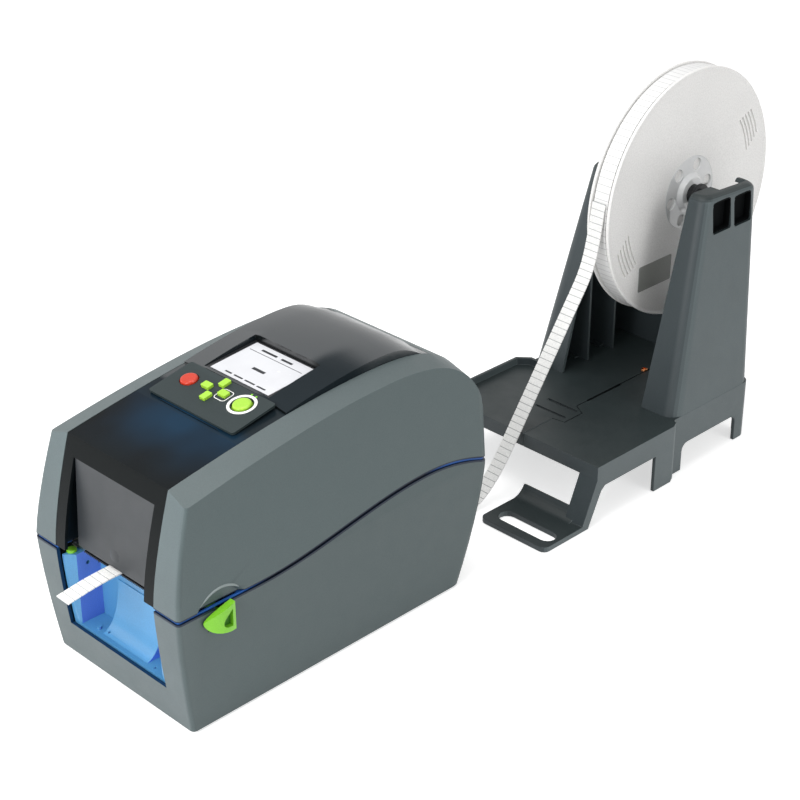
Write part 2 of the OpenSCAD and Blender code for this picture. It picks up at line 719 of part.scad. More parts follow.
module control_plate() color([0.24, 0.27, 0.28]) place() on_plate() difference() {
  translate([0, 0, -plate_t]) slab(plate_half, plate_v, plate_t, 2);
  translate([stop_at[0], stop_at[1], -5]) cylinder(r = stop_r + 0.6, h = 10);
  translate([enter_at[0], enter_at[1], -5]) cylinder(r = enter_r + 1, h = 10);
  for (s = [-1, 1]) {
    translate([pad_at[0] + s * pad_step, pad_at[1], -5]) slab(key_long/2 + 0.3, key_short/2 + 0.3, 10, 0.8);
    translate([pad_at[0], pad_at[1] + s * pad_step, -5]) slab(key_short/2 + 0.3, key_long/2 + 0.3, 10, 0.8);
  }
  for (x = [20, 24]) translate([x, 15.2, -5]) cylinder(r = 0.8, h = 10);
}

module control_board() color(board) place() on_plate() {
  // the keys end just above the board, and its posts end just under the window
  top = -6.6 - key_travel;
  drop = win_t + (plate_half - 0.7 - crown_x) * tan(crown_tilt);
  post_top = -plate_t - drop * cos(plate_tilt) - 0.05;
  translate([0, 0, top - 1.6]) slab(plate_half - 0.5, 14.5, 1.6, 1);
  for (s = [-1, 1]) both() translate([plate_half - 2, s * 12.5, top - 0.4])
    cylinder(r = 1.3, h = post_top - top + 0.4);
}

module screen_panel() color([0.85, 0.88, 0.92]) place() {
  prism_x([[107.8, 173.4], [149.4, 173.4], [149.4, 180], [107.8, 176.4]],
    -screen_half + 0.2, screen_half - 0.2);
}

// Round button with a retaining flange under the plate
module round_button(at, r) {
  on_plate() translate([at[0], at[1], 0]) {
    translate([0, 0, -5]) cylinder(r = r, h = 5 + key_rise - 0.8);
    translate([0, 0, key_rise - 0.8]) cylinder(r1 = r, r2 = r - 0.9, h = 0.8);
    translate([0, 0, -6]) cylinder(r = r - 1, h = 2);
    translate([0, 0, -plate_t - 1.3]) cylinder(r = r + 1.8, h = 1);
  }
}
module stop_button() color(red) place() round_button(stop_at, stop_r);
module enter_button() color(lime) place() round_button(enter_at, enter_r);
module enter_ring() color(white) place() on_plate() translate([enter_at[0], enter_at[1], 0]) difference() {
  cylinder(r = enter_r + 3.5, h = 0.4);
  translate([0, 0, -1]) cylinder(r = enter_r + 1.6, h = 3);
}
module arrow_key(x, y, a, b) {
  on_plate() translate([x, y, 0]) {
    translate([0, 0, -5.6]) slab(a/2, b/2, 5.6 + key_rise, 0.7);
    translate([0, 0, -plate_t - 1.3]) slab(a/2 + 0.9, b/2, 1, 0.7);
  }
}
module key_left() color(lime) place() arrow_key(pad_at[0] - pad_step, pad_at[1], key_long, key_short);
module key_right() color(lime) place() arrow_key(pad_at[0] + pad_step, pad_at[1], key_long, key_short);
module key_up() color(lime) place() arrow_key(pad_at[0], pad_at[1] + pad_step, key_short, key_long);
module key_down() color(lime) place() arrow_key(pad_at[0], pad_at[1] - pad_step, key_short, key_long);
module indicator_lights() color(lime) place() on_plate() {
  for (x = [20, 24]) translate([x, 15.2, -plate_t]) cylinder(r = 0.78, h = plate_t + 0.3);
}

// Frame of the print module inside the lid
module module_frame() color(blue) place() {
  ear = [for (p = roof) if (p[0] > 26 && p[0] < 92) p];
  difference() {
    union() {
      both() prism_x([[12.6, 88], [15.8, 148.5], [70, 156], [101, 150], [101, 110], [64, 102], [50, 88]],
        side_x, side_x + 2.4);
      both() for (y = [32, 78]) intersection() {
        prism_x(under(lower(ear, 5.7), 120), side_x + 2.3, win_half - 0.9);
        box(0, 60, y, y + 10, 138, 190);
      }
      box(-side_x - 1, side_x + 1, 98.6, 101, 112, 148);
      box(-side_x - 1, side_x + 1, 60, 66, 150, 152.4);
    }
    both() rod(supply_at, 4 + fit, 30, 60);
    both() rod(takeup_at, 4 + fit, 30, 60);
  }
}

module front_panel() color([0.33, 0.34, 0.35]) place() {
  union() {
    prism_x([[10, 86.2], [13.3, 145.9], [15.4, 145.9], [12.3, 87.6], [18, 87.6], [18, 86.2]], -38, 38);
    intersection() {
      translate([strip_x0 + 1, 10.9 + 21, 93.4]) sphere(r = 22, $fn = 64);
      box(-30, 30, 8, 12.4, 87, 102);
    }
  }
}

module head_bracket() color(steel) place() {
  prism_x([[24, 97.2], [45, 97.2], [45, 104], [43.6, 104], [43.6, 98.8], [24, 98.8]], -side_x, side_x);
}

module print_head() color([0.78, 0.79, 0.80]) place() difference() {
  box(-30, 30, 24, 43.6, head_z + 1.6, 97.2);
  for (i = [0:4]) box(-31, 31, 26.4 + i * 3.4, 28 + i * 3.4, 92, 98);
}

module head_strip() color([0.90, 0.88, 0.82]) place() {
  prism_x([[24, head_z + 0.4], [28, head_z], [34, head_z], [43.6, head_z + 0.5], [43.6, head_z + 1.6],
    [24, head_z + 1.6]], -30, 30);
}

module spindle(at) {
  difference() {
    union() {
      rod(at, 4, -side_x - 2.4, side_x + 2.4);
      rod(at, 6.2, -ribbon_w/2 - 4, ribbon_w/2 + 4);
      rod(at, 8.4, -ribbon_w/2 - 5, -ribbon_w/2 - 4);
    }
    for (s = [-1, 1]) rod(at, 1.6, s * (side_x + 2.4) - 3, s * (side_x + 2.4) + 3);
  }
}
module supply_spindle() color([0.12, 0.13, 0.14]) place() spindle(supply_at);
module takeup_spindle() color([0.12, 0.13, 0.14]) place() spindle(takeup_at);
module roll(at, r) {
  difference() {
    rod(at, r, -ribbon_w/2, ribbon_w/2);
    rod(at, 6.2, -60, 60);
  }
}
module supply_roll() color([0.05, 0.05, 0.06]) place() roll(supply_at, supply_r);
module takeup_roll() color([0.05, 0.05, 0.06]) place() roll(takeup_at, takeup_r);

// Ribbon from the supply roll, under the print head and up to the take-up roll
film_z = head_z - 0.3;
film_from = touch([47.4, 90], supply_at, supply_r + 0.5);
film_to = touch([20.8, film_z + 2.4], takeup_at, takeup_r + 0.5);
film_line = [film_from, [47.4, 90], [46, film_z + 1.6], [44.6, film_z], [23, film_z],
  [21.4, film_z + 0.8], [20.8, film_z + 2.4], film_to];
module ribbon_film() color([0.05, 0.05, 0.06]) place()
  prism_x(strap(film_line, 0.25), -ribbon_w/2, ribbon_w/2);

// Marker strip, from its free end through the printer to the reel
module marker_strip() color(white) place() translate([strip_x0, strip_y0, 0]) rotate(strip_yaw)
  translate([0, -strip_y0, 0]) prism_x(strap(route, strip_t), -strip_w/2, strip_w/2);

// Stand, drawn about its own middle
stand_x = 6.5;
deck_y = 361;
deck_back = 546.5;
step_y = 446;
step_half = deck_half - 5.8;
seam_x = 4.5;
rib_ys = [482, 512];

module deck_plan() {
  polygon(concat([[-deck_half, deck_y], [deck_half, deck_y], [deck_half, step_y]],
    arc([step_half + 3, step_y + 9], 3, 270, 180, 4), arc([step_half - 8, deck_back - 8], 8, 0, 90, 5),
    arc([-step_half + 8, deck_back - 8], 8, 90, 180, 5), arc([-step_half - 3, step_y + 9], 3, 0, -90, 4),
    [[-deck_half, step_y]]));
}

// Line where the two halves interlock, with a tongue
module half_plan(s) {
  lip = [[seam_x, 340], [seam_x, 393], [seam_x + 10, 394.5], [seam_x + 10, 414], [seam_x, 419.5],
    [seam_x, 600]];
  gap = s > 0 ? 0.2 : -0.2;
  polygon(concat([for (p = lip) [p[0] + gap, p[1]]], [[s * 200, 600], [s * 200, 340]]));
}

// Opening between two legs, rounded at its top corners
module arch(y0, y1, z) {
  prism_x(concat([[y0, -1]], arc([y0 + 6, z - 6], 6, 180, 90, 5), arc([y1 - 6, z - 6], 6, 90, 0, 5),
    [[y1, -1]]), -200, 200);
}

module stand_skirt(s) {
  // skirt, legs and arches around the outside of a half
  difference() {
    intersection() {
      linear_extrude(deck_z - 0.5) deck_plan();
      linear_extrude(80) half_plan(s);
    }
    translate([0, 0, -1]) linear_extrude(80) intersection() {
      union() {
        translate([-deck_half + deck_t, deck_y + deck_t])
          square([2*(deck_half - deck_t), step_y - deck_y - 2*deck_t]);
        translate([-step_half + deck_t, step_y - 10])
          square([2*(step_half - deck_t), deck_back - step_y + 10 - deck_t]);
      }
    }
    // space under the skirt, cut up to the arches between the legs
    box(-200, 200, deck_y - 5, deck_y + deck_t + 2, -1, 36);
    box(-200, 200, deck_y + 2, step_y - 19.6, -1, 29);
    arch(step_y + 19.5, deck_back - 16, 21.6);
    box(-step_half + 12, step_half - 12, deck_back - 10, deck_back + 5, -1, 30);
  }
}

module stand_half(s) {
  difference() {
    union() {
      difference() {
        translate([0, 0, deck_z - deck_t]) linear_extrude(deck_t) intersection() {
          deck_plan();
          half_plan(s);
        }
        // sockets for the tower tabs
        for (y = rib_ys) translate([s * tab_x, y - 4, deck_z]) box(-6.2, 6.2, -0.2, 10.2, -10, 10);
      }
      stand_skirt(s);
    }
    if (s < 0) for (y = [400, 413.4]) box(-18, 10, y - 0.9, y + 0.9, 30, 60);
    box(seam_x - 0.7, seam_x + 0.7, 432, 470, deck_z - 0.8, 60);
  }
}

module stand_left() color(slate) place() translate([stand_x, 0, 0]) {
  stand_half(-1);
  // raised rim of the tray
  difference() {
    translate([0, 0, deck_z - 1]) linear_extrude(6.5) polygon([[-deck_half, deck_y], [-deck_half, step_y - 6],
      [-deck_half + 9, step_y + 2], [-deck_half + 22, step_y + 2], [-deck_half + 22, deck_y]]);
    translate([0, 0, deck_z - 2]) linear_extrude(9) polygon([[-deck_half + 2.4, deck_y - 5],
      [-deck_half + 2.4, step_y - 7], [-deck_half + 10, step_y - 0.4], [-deck_half + 30, step_y - 0.4],
      [-deck_half + 30, deck_y - 5]]);
  }
}

module stand_right() color(slate) place() translate([stand_x, 0, 0]) {
  stand_half(1);
  x1 = deck_half;
  y0 = deck_y - 54;
  y1 = deck_y - 14;
  slot = y0 + 14.3;
  difference() {
    union() {
      // slanted arm
      prism_x([[deck_y + 8, deck_z - 0.6], [deck_y, deck_z - 0.6], [deck_y, 36], [y1, foot_t], [y1 - 1, 0],
        [y1 + 6.4, 0], [deck_y + 5, 26], [deck_y + 9, 29]], x1 - 16.5, x1);
      // foot plate, bent up at its back
      linear_extrude(foot_t) polygon(concat([[x1, y1 + 1]], [[x1 - 61, y1 + 1]],
        arc([x1 - 56, y0 + 5], 5, 180, 270, 4), arc([x1 - 5, y0 + 5], 5, 270, 360, 4)));
      prism_x(concat(bez([y1 - 8, foot_t - 0.5], [y1 + 1, foot_t], [y1 + 4, 7], [y1 + 6.6, 11.6], 6),
        bez([y1 + 9, 10.4], [y1 + 7, 5], [y1 + 4, 0.2], [y1 - 4, 0], 6)), x1 - 61, x1 - 10);
    }
    // oblong slot
    translate([0, 0, -1]) linear_extrude(foot_t + 2) polygon(concat(arc([x1 - 10.3, slot], 6.6, -90, 90, 8),
      arc([x1 - 47, slot], 6.6, 90, 270, 8)));
  }
}

// Tower: hollow and open towards the reel, with a saddle for the shaft
tower_in = step_half - 30;
tab_x = tower_in + 15;
dome_r = 5;
function tower_part(z) = (z - deck_z) / (tower_top - deck_z);
// Plan of a tower at height z, drawn in by t and by e: rounded at its two outer corners
function tower_ring(z, t, e) = let (f = tower_part(z), r = 11 - 3 * f - t, x0 = tower_in - (t > 0 ? 1 : 0),
  x1 = step_half - 15.1 * f - t - e, y0 = 452.5 + 40.5 * f + t + e, y1 = deck_back - 0.5 + 9 * f - t - e)
  [for (p = concat([[x0, y0]], arc([x1 - r, y0 + r], r, -90, 0, 6),
    arc([x1 - r, y1 - r], r, 0, 90, 6), [[x0, y1]])) [p[0], p[1], z - 0.055 * f * (p[1] - 491)]];
module tower_block(t) {
  top = tower_top - t;
  loft(concat([tower_ring(deck_z, t, 0)], [for (a = [0:18:90])
    tower_ring(top - dome_r * (1 - sin(a)), t, dome_r * (1 - cos(a)))]));
}
// Pocket in the outer wall, rounded at its corners
module tower_pocket(y0, y1, z0, z1) {
  prism_x(concat(arc([y0 + 2, z0 + 2], 2, 180, 270, 3), arc([y1 - 2, z0 + 2], 2, 270, 360, 3),
    arc([y1 - 5, z1 - 5], 5, 0, 90, 5), arc([y0 + 5, z1 - 5], 5, 90, 180, 5)), tower_in + 10.1, 90);
}
module tower() {
  at = [reel_y, reel_z];
  seat_r = shaft_r + 0.3;
  difference() {
    tower_block(0);
    difference() {
      tower_block(tower_t);
      // stiffening ribs and the block under the saddle
      for (y = rib_ys) box(tower_in - 8, tower_in + 42, y, y + 2, 0, 260);
      box(tower_in - 8, tower_in + 42, reel_y - 11, reel_y + 11, reel_z - 12, 260);
    }
    // saddle with a flared mouth
    prism_x(concat(arc(at, seat_r, 180, 360, 12), [[reel_y + seat_r, reel_z + 3],
      [reel_y + 19, tower_top + 2], [reel_y - 19, tower_top + 2], [reel_y - seat_r, reel_z + 3]]),
      tower_in - 18, tower_in + 8.1);
    // two pockets on the outer side near the top
    tower_pocket(500, 521.4, tower_top - 29, tower_top - 5.5);
    tower_pocket(525.4, 546, tower_top - 30, tower_top - 7);
  }
  // tabs that plug into the deck, each at the foot of a rib
  for (y = rib_ys) translate([tab_x, y - 4, 0]) box(-6, 6, 0, 10, deck_z - deck_t, deck_z + 1);
}
module tower_right() color(grey) place() translate([stand_x, 0, 0]) tower();
module tower_left() color(grey) place() translate([stand_x, 0, 0]) mirror([1, 0, 0]) tower();

// Reel parts turn together about the shaft's line
module turned(pts) {
  translate([reel_x, reel_y, reel_z]) rotate([0, 90, 0]) rotate_extrude($fn = 96) polygon(pts);
}
half_gap = reel_gap / 2;

module reel_shaft() color(rubber) place() {
  end = tower_in + 7.6 - abs(stand_x - reel_x);
  turned([[0, -end], [shaft_r - 0.8, -end], [shaft_r, 1 - end], [shaft_r, -20], [9, -20], [9, -17],
    [shaft_r + 2, -17], [shaft_r + 2, 17], [9, 17], [9, 20], [shaft_r, 20], [shaft_r, end - 1],
    [shaft_r - 0.8, end], [0, end]]);
}

module reel_hub() color([0.80, 0.84, 0.86]) place() difference() {
  turned([[shaft_r + 2, -12], [12, -12], [15, -half_gap - 1.6], [hub_r - 2, -half_gap - 1.6],
    [hub_r - 2, -half_gap], [hub_r, -half_gap], [hub_r, half_gap], [hub_r - 2, half_gap],
    [hub_r - 2, half_gap + 1.6], [15, half_gap + 1.6], [12, 12], [shaft_r + 2, 12]]);
  for (i = [0:5]) translate([reel_x, reel_y, reel_z]) rotate([i * 60 + 10, 0, 0])
    translate([0, 21.5, 0]) rotate([0, 90, 0]) cylinder(r = 4.6, h = 60, center = true);
}

// One flange: thin disc with a rim bead, pierced by two groups of slits
module flange() {
  difference() {
    turned([[hub_r - 2, half_gap], [reel_r - 1.2, half_gap], [reel_r, half_gap + 0.6], [reel_r, half_gap + 2],
      [reel_r - 0.8, half_gap + 2.6], [reel_r - 3.4, half_gap + 1.5], [hub_r + 10, half_gap + 1.2],
      [hub_r + 4, half_gap + 1.6], [hub_r - 2, half_gap + 1.6]]);
    for (k = [0, 1]) for (i = [0:4]) translate([reel_x - 20, reel_y, reel_z]) rotate([90, 0, 90])
      rotate(12 + 180 * k + i * 1.5) rotate_extrude(angle = 24 - i * 2, $fn = 96)
        translate([reel_r * 0.74 + i * 3.4, 0]) square([1.3, 60]);
  }
}
module reel_flanges() color(white) place() {
  flange();
  translate([2 * reel_x, 0, 0]) mirror([1, 0, 0]) flange();
}

// Wound strip: plain core with one outer turn that shows its free end
module strip_winding() color(white) place() {
  core_r = wound_r - strip_t - turn_step - 0.5;
  difference() {
    translate([reel_x, reel_y, reel_z]) rotate([0, 90, 0])
      cylinder(r = core_r, h = strip_w, center = true, $fn = 96);
    rod([reel_y, reel_z], hub_r, -60, 60);
  }
  translate([reel_x - strip_w/2, reel_y, reel_z]) rotate([90, 0, 90]) linear_extrude(strip_w)
    polygon(strap(winding, strip_t));
}

base_shell();
chassis();
front_tray();
base_feet();
base_screws();
platen_frame();
platen_bearings();
platen_shaft();
platen_roller();
platen_gear();
idler_gear();
drive_motor();
motor_pinion();
tear_bar();
guide_rod();
guide_left();
guide_right();
main_board();
rear_panel();
rear_sockets();
power_switch();
latch_left();
latch_right();
latch_pins();
hinge_block();
hinge_pin();
lid_shell();
lid_hinge_arms();
latch_catches();
top_window();
control_plate();
control_board();
screen_panel();
stop_button();
key_left();
key_right();
key_up();
key_down();
enter_button();
enter_ring();
indicator_lights();
module_frame();
front_panel();
head_bracket();
print_head();
head_strip();
supply_spindle();
supply_roll();
takeup_spindle();
takeup_roll();
ribbon_film();
stand_left();
stand_right();
tower_left();
tower_right();
reel_shaft();
reel_hub();
reel_flanges();
strip_winding();
marker_strip();
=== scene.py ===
# %% [markdown]
# # A desktop thermal transfer printer and its reel stand
# The solids of this object come from the CAD model and fix every size and place. Here they get
# their looks: rounded edges, plastics, metals and rubber, and the small things that are only skin,
# such as the tags of the marker strip, the picture on the screen and the line on the control plate.

# %% Load the solids
import json
import math

import bpy
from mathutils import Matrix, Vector


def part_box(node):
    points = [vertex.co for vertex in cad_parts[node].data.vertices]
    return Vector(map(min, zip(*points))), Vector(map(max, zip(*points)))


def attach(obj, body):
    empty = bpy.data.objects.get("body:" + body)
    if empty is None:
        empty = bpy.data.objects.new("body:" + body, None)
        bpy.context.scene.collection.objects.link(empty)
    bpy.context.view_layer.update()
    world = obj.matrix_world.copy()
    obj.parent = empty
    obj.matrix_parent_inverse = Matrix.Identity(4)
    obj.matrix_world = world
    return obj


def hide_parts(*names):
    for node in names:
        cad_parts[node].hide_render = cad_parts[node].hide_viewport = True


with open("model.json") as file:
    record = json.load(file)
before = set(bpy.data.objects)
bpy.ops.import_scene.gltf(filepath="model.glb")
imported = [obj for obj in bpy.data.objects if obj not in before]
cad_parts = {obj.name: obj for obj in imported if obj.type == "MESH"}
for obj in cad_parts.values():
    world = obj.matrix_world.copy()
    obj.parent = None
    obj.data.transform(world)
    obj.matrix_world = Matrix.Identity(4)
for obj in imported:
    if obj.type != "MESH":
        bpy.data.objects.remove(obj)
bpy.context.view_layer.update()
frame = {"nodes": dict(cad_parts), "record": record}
solids = frame["nodes"]
carrier = {n: b for b, members in frame["record"]["behaviour"]["bodies"].items() for n in members}

# %% [markdown]
# ## Two ways to count
# The drawing counts in millimetres from the printer's middle and foremost edge, the frame in metres from
# the point on the desk below the whole object's middle. Places are written here as in the drawing, where
# sizes are easy to read, and one helper turns them into places of the frame.

# %% Places of the drawing
MM = 0.001
OFF_X, OFF_Y = 2.6, 300.0
QUARTER = math.radians(90)


def place(x, y, z):
    """A point of the drawing, in millimetres, as a point of the frame in metres."""
    return Vector(((x - OFF_X) * MM, (y - OFF_Y) * MM, z * MM))


MIDDLE_X = place(0, 0, 0).x
print("the printer's middle lies at x =", round(MIDDLE_X, 4))

# %% [markdown]
# ## Camera
# The view stands to the right of the printer's front and looks down on it. Its place was worked out
# from edges of the case, so the solids already fall where the photograph has them. A long lens keeps
# the upright edges nearly parallel.

# %% Camera
camera_data = bpy.data.cameras.new("camera")
camera = bpy.data.objects.new("camera", camera_data)
bpy.context.scene.collection.objects.link(camera)
camera_data.lens = 85.49
camera_data.sensor_width = 36.0
camera_data.shift_x = 0.0007
camera_data.shift_y = -0.0083
camera_data.clip_end = 50.0
turn, rise = math.radians(45.27), math.radians(27.76)
back = Vector((math.sin(turn) * math.cos(rise), -math.cos(turn) * math.cos(rise), math.sin(rise)))
camera.location = place(795.0, -540.6, 706.0)
camera.rotation_mode = "QUATERNION"
camera.rotation_quaternion = (-back).to_track_quat("-Z", "Y")
bpy.context.scene.camera = camera
bpy.context.scene.view_settings.view_transform = "Standard"
print("camera at", [round(v, 3) for v in camera.location])

# %% [markdown]
# ## Lamps
# A studio table has wide, soft lamps: one above, one from the left and one from the right. A small one
# near the printer's front makes the front brighter than the long side wall and the stand. Lamps of the
# area kind give such soft light, and none of them is seen itself.

# %% Lamps


def lamp(name, at, aim, size, watts):
    """A round soft lamp, aimed at a point."""
    data = bpy.data.lights.new(name, "AREA")
    data.shape = "DISK"
    data.size = size
    data.energy = watts
    obj = bpy.data.objects.new(name, data)
    bpy.context.scene.collection.objects.link(obj)
    obj.location = at
    obj.rotation_mode = "QUATERNION"
    obj.rotation_quaternion = (Vector(aim) - Vector(at)).to_track_quat("-Z", "Y")
    obj.visible_camera = False


lamp("top_lamp", (-0.2, -0.2, 2.2), (0, 0, 0.1), 1.6, 17)
lamp("front_lamp", (0.1, -1.0, 0.55), (0, -0.3, 0.12), 0.6, 6.6)
lamp("left_lamp", (-1.6, -1.2, 1.0), (0, 0, 0.1), 1.2, 8)
lamp("side_lamp", (2.2, 0.2, 1.2), (0, 0, 0.1), 1.4, 13)
print("lamps:", len(bpy.data.lights))

# %% [markdown]
# ## Room and floor
# Room and floor are white for the eye and in reflections, but light the object with less than that, so
# that the shadow on the floor stays. The Light Path node tells both kinds of rays apart.

# %% Room
WHITE = (1, 1, 1, 1)
ROOM_LIGHT = 0.42


def maths(tree, operation, first, second):
    """One step of arithmetic on two values, each of them a number or the output of a node."""
    n = tree.nodes.new("ShaderNodeMath")
    n.operation = operation
    for source, socket in ((first, n.inputs[0]), (second, n.inputs[1])):
        if isinstance(source, float):
            socket.default_value = source
        else:
            tree.links.new(source, socket)
    return n.outputs[0]


def by_sight(tree, unseen, seen):
    """One shader for rays that only carry light, another for rays from the eye, a mirror or through glass."""
    path = tree.nodes.new("ShaderNodeLightPath")
    direct = maths(tree, "MAXIMUM", path.outputs["Is Camera Ray"], path.outputs["Is Glossy Ray"])
    n = tree.nodes.new("ShaderNodeMixShader")
    tree.links.new(maths(tree, "MAXIMUM", direct, path.outputs["Is Transmission Ray"]), n.inputs["Fac"])
    tree.links.new(unseen.outputs[0], n.inputs[1])
    tree.links.new(seen.outputs[0], n.inputs[2])
    return n.outputs[0]


world = bpy.data.worlds.new("white_room")
bpy.context.scene.world = world
world.use_nodes = True
tree = world.node_tree
dim = tree.nodes["Background"]
dim.inputs["Color"].default_value = WHITE
dim.inputs["Strength"].default_value = ROOM_LIGHT
shown = tree.nodes.new("ShaderNodeBackground")
shown.inputs["Color"].default_value = WHITE
shown.inputs["Strength"].default_value = 1.0
tree.links.new(by_sight(tree, dim, shown), tree.nodes["World Output"].inputs["Surface"])
print("room lights with", ROOM_LIGHT)

# %% Floor
FLOOR_SIZE, FLOOR_DROP = 60, 0.0004
FLOOR_GLOW = 0.6
bpy.ops.object.select_all(action="DESELECT")
bpy.ops.mesh.primitive_plane_add(size=FLOOR_SIZE, location=(0, 0, -FLOOR_DROP))
floor = bpy.context.active_object
floor.name = "floor"
paper = bpy.data.materials.new("white_table")
paper.use_nodes = True
tree = paper.node_tree
plain = tree.nodes["Principled BSDF"]
plain.inputs["Base Color"].default_value = (0.82, 0.82, 0.82, 1)
plain.inputs["Roughness"].default_value = 0.9
plain.inputs["Specular IOR Level"].default_value = 0.0
glow = tree.nodes.new("ShaderNodeEmission")
glow.inputs["Color"].default_value = WHITE
glow.inputs["Strength"].default_value = FLOOR_GLOW
bright = tree.nodes.new("ShaderNodeAddShader")
tree.links.new(plain.outputs[0], bright.inputs[0])
tree.links.new(glow.outputs[0], bright.inputs[1])
tree.links.new(by_sight(tree, plain, bright), tree.nodes["Material Output"].inputs["Surface"])
floor.data.materials.append(paper)
print("floor:", FLOOR_SIZE, "m wide")

# %% [markdown]
# ## Finishes
# Moulded plastic is never one flat colour: the mould leaves a fine grain, the colour clouds a little
# over a large wall, and edges that hands and sleeves touch turn paler. Clouds and grain come from noise on
# object coordinates and the worn edges from the shape itself, and each finish has its own colour and gloss.

# %% Colours


def tint(r, g, b):
    """A colour written in screen values from 0 to 255, as linear light."""
    def one(v):
        v = v / 255
        return v / 12.92 if v <= 0.04045 else ((v + 0.055) / 1.055) ** 2.4
    return (one(r), one(g), one(b), 1.0)


def shade(colour, k):
    """A colour made darker or paler."""
    return tuple(min(1.0, c * k) for c in colour[:3]) + (1.0,)


def grey(v):
    """A neutral colour, here mostly to multiply others with."""
    return (v, v, v, 1)


# %% [markdown]
# Each step of a recipe is a node. These helpers add one node, link it and hand on its output, so that a
# recipe below reads like a sentence.

# %% Nodes for colour and gloss


def start(name):
    """A new finish: itself, its nodes, its shader and the object coordinates."""
    made = bpy.data.materials.new(name)
    made.use_nodes = True
    tree = made.node_tree
    coords = tree.nodes.new("ShaderNodeTexCoord")
    return made, tree, tree.nodes["Principled BSDF"], coords.outputs["Object"]


def noise(tree, where, scale, detail, roughness=0.5):
    n = tree.nodes.new("ShaderNodeTexNoise")
    n.inputs["Scale"].default_value = scale
    n.inputs["Detail"].default_value = detail
    n.inputs["Roughness"].default_value = roughness
    tree.links.new(where, n.inputs["Vector"])
    return n.outputs["Fac"]


def ramp(tree, value, low, high, a, b):
    """Colour a below low, colour b above high, and a soft step between them."""
    n = tree.nodes.new("ShaderNodeValToRGB")
    n.color_ramp.elements[0].position = low
    n.color_ramp.elements[0].color = a
    n.color_ramp.elements[1].position = high
    n.color_ramp.elements[1].color = b
    tree.links.new(value, n.inputs["Fac"])
    return n.outputs["Color"]


def drift(tree, value, dark, pale):
    """A colour that drifts between two tones as noise does."""
    return ramp(tree, value, 0.3, 0.7, dark, pale)


def spread(tree, value, low, high):
    """Noise, which stays near its middle, spread over a range of numbers."""
    n = tree.nodes.new("ShaderNodeMapRange")
    n.inputs["From Min"].default_value = 0.25
    n.inputs["From Max"].default_value = 0.75
    n.inputs["To Min"].default_value = low
    n.inputs["To Max"].default_value = high
    tree.links.new(value, n.inputs["Value"])
    return n.outputs["Result"]


# %% Blends and bumps


def blend_colour(tree, share, a, b):
    """Colour a where share is 0 and colour b where it is 1."""
    n = tree.nodes.new("ShaderNodeMix")
    n.data_type = "RGBA"
    tree.links.new(share, n.inputs["Factor"])
    for source, socket in ((a, n.inputs["A"]), (b, n.inputs["B"])):
        if isinstance(source, tuple):
            socket.default_value = source
        else:
            tree.links.new(source, socket)
    return n.outputs["Result"]


def times(tree, a, b):
    """Two colours multiplied."""
    n = tree.nodes.new("ShaderNodeMix")
    n.data_type = "RGBA"
    n.blend_type = "MULTIPLY"
    n.inputs["Factor"].default_value = 1.0
    tree.links.new(a, n.inputs["A"])
    tree.links.new(b, n.inputs["B"])
    return n.outputs["Result"]


def bumps(tree, shader, height, strength, depth):
    n = tree.nodes.new("ShaderNodeBump")
    n.inputs["Strength"].default_value = strength
    n.inputs["Distance"].default_value = depth
    tree.links.new(height, n.inputs["Height"])
    tree.links.new(n.outputs["Normal"], shader.inputs["Normal"])


# %% [markdown]
# Some colours depend on where a surface lies or which way it faces: painted shade on a wall in the shade, a
# worn edge, or the dark line along the seam of base and lid, which is painted shade of the gap between them.
# The seam starts level at the front, rises in a soft step and falls a little at the back, and the band below
# follows the same formula as the drawing.

# %% Places on a surface


def edge_wear(tree):
    """High along convex edges, where a surface is touched most."""
    geometry = tree.nodes.new("ShaderNodeNewGeometry")
    return ramp(tree, geometry.outputs["Pointiness"], 0.505, 0.58, grey(0), grey(1))


def soft_step(tree, value, low, high, to_low=0.0, to_high=1.0):
    """A soft step from one number, at low, to another, at high."""
    n = tree.nodes.new("ShaderNodeMapRange")
    n.interpolation_type = "SMOOTHSTEP"
    n.inputs["From Min"].default_value = low
    n.inputs["From Max"].default_value = high
    n.inputs["To Min"].default_value = to_low
    n.inputs["To Max"].default_value = to_high
    tree.links.new(value, n.inputs["Value"])
    return n.outputs["Result"]


def facing(tree, axis):
    """1 where a surface faces along the axis, falling to 0 where it is turned well away from it."""
    geometry = tree.nodes.new("ShaderNodeNewGeometry")
    share = tree.nodes.new("ShaderNodeVectorMath")
    share.operation = "DOT_PRODUCT"
    share.inputs[1].default_value = axis
    tree.links.new(geometry.outputs["True Normal"], share.inputs[0])
    return soft_step(tree, share.outputs["Value"], 0.35, 0.85)


def axes(tree, where):
    split = tree.nodes.new("ShaderNodeSeparateXYZ")
    tree.links.new(where, split.inputs[0])
    return split.outputs


def along_y(tree, at, low, high):
    """A soft step from 0 at low to 1 at high, both in millimetres of the drawing."""
    return soft_step(tree, at["Y"], place(0, low, 0).y, place(0, high, 0).y)


# %% Band along the seam
SEAM_START, SEAM_CREST = place(0, 60, 0).y, place(0, 205, 0).y
SEAM_LOW, SEAM_HIGH, SEAM_FALL = 84, 100.2, 3.7
SEAM_SOFT, SEAM_FADE = 0.15, 14


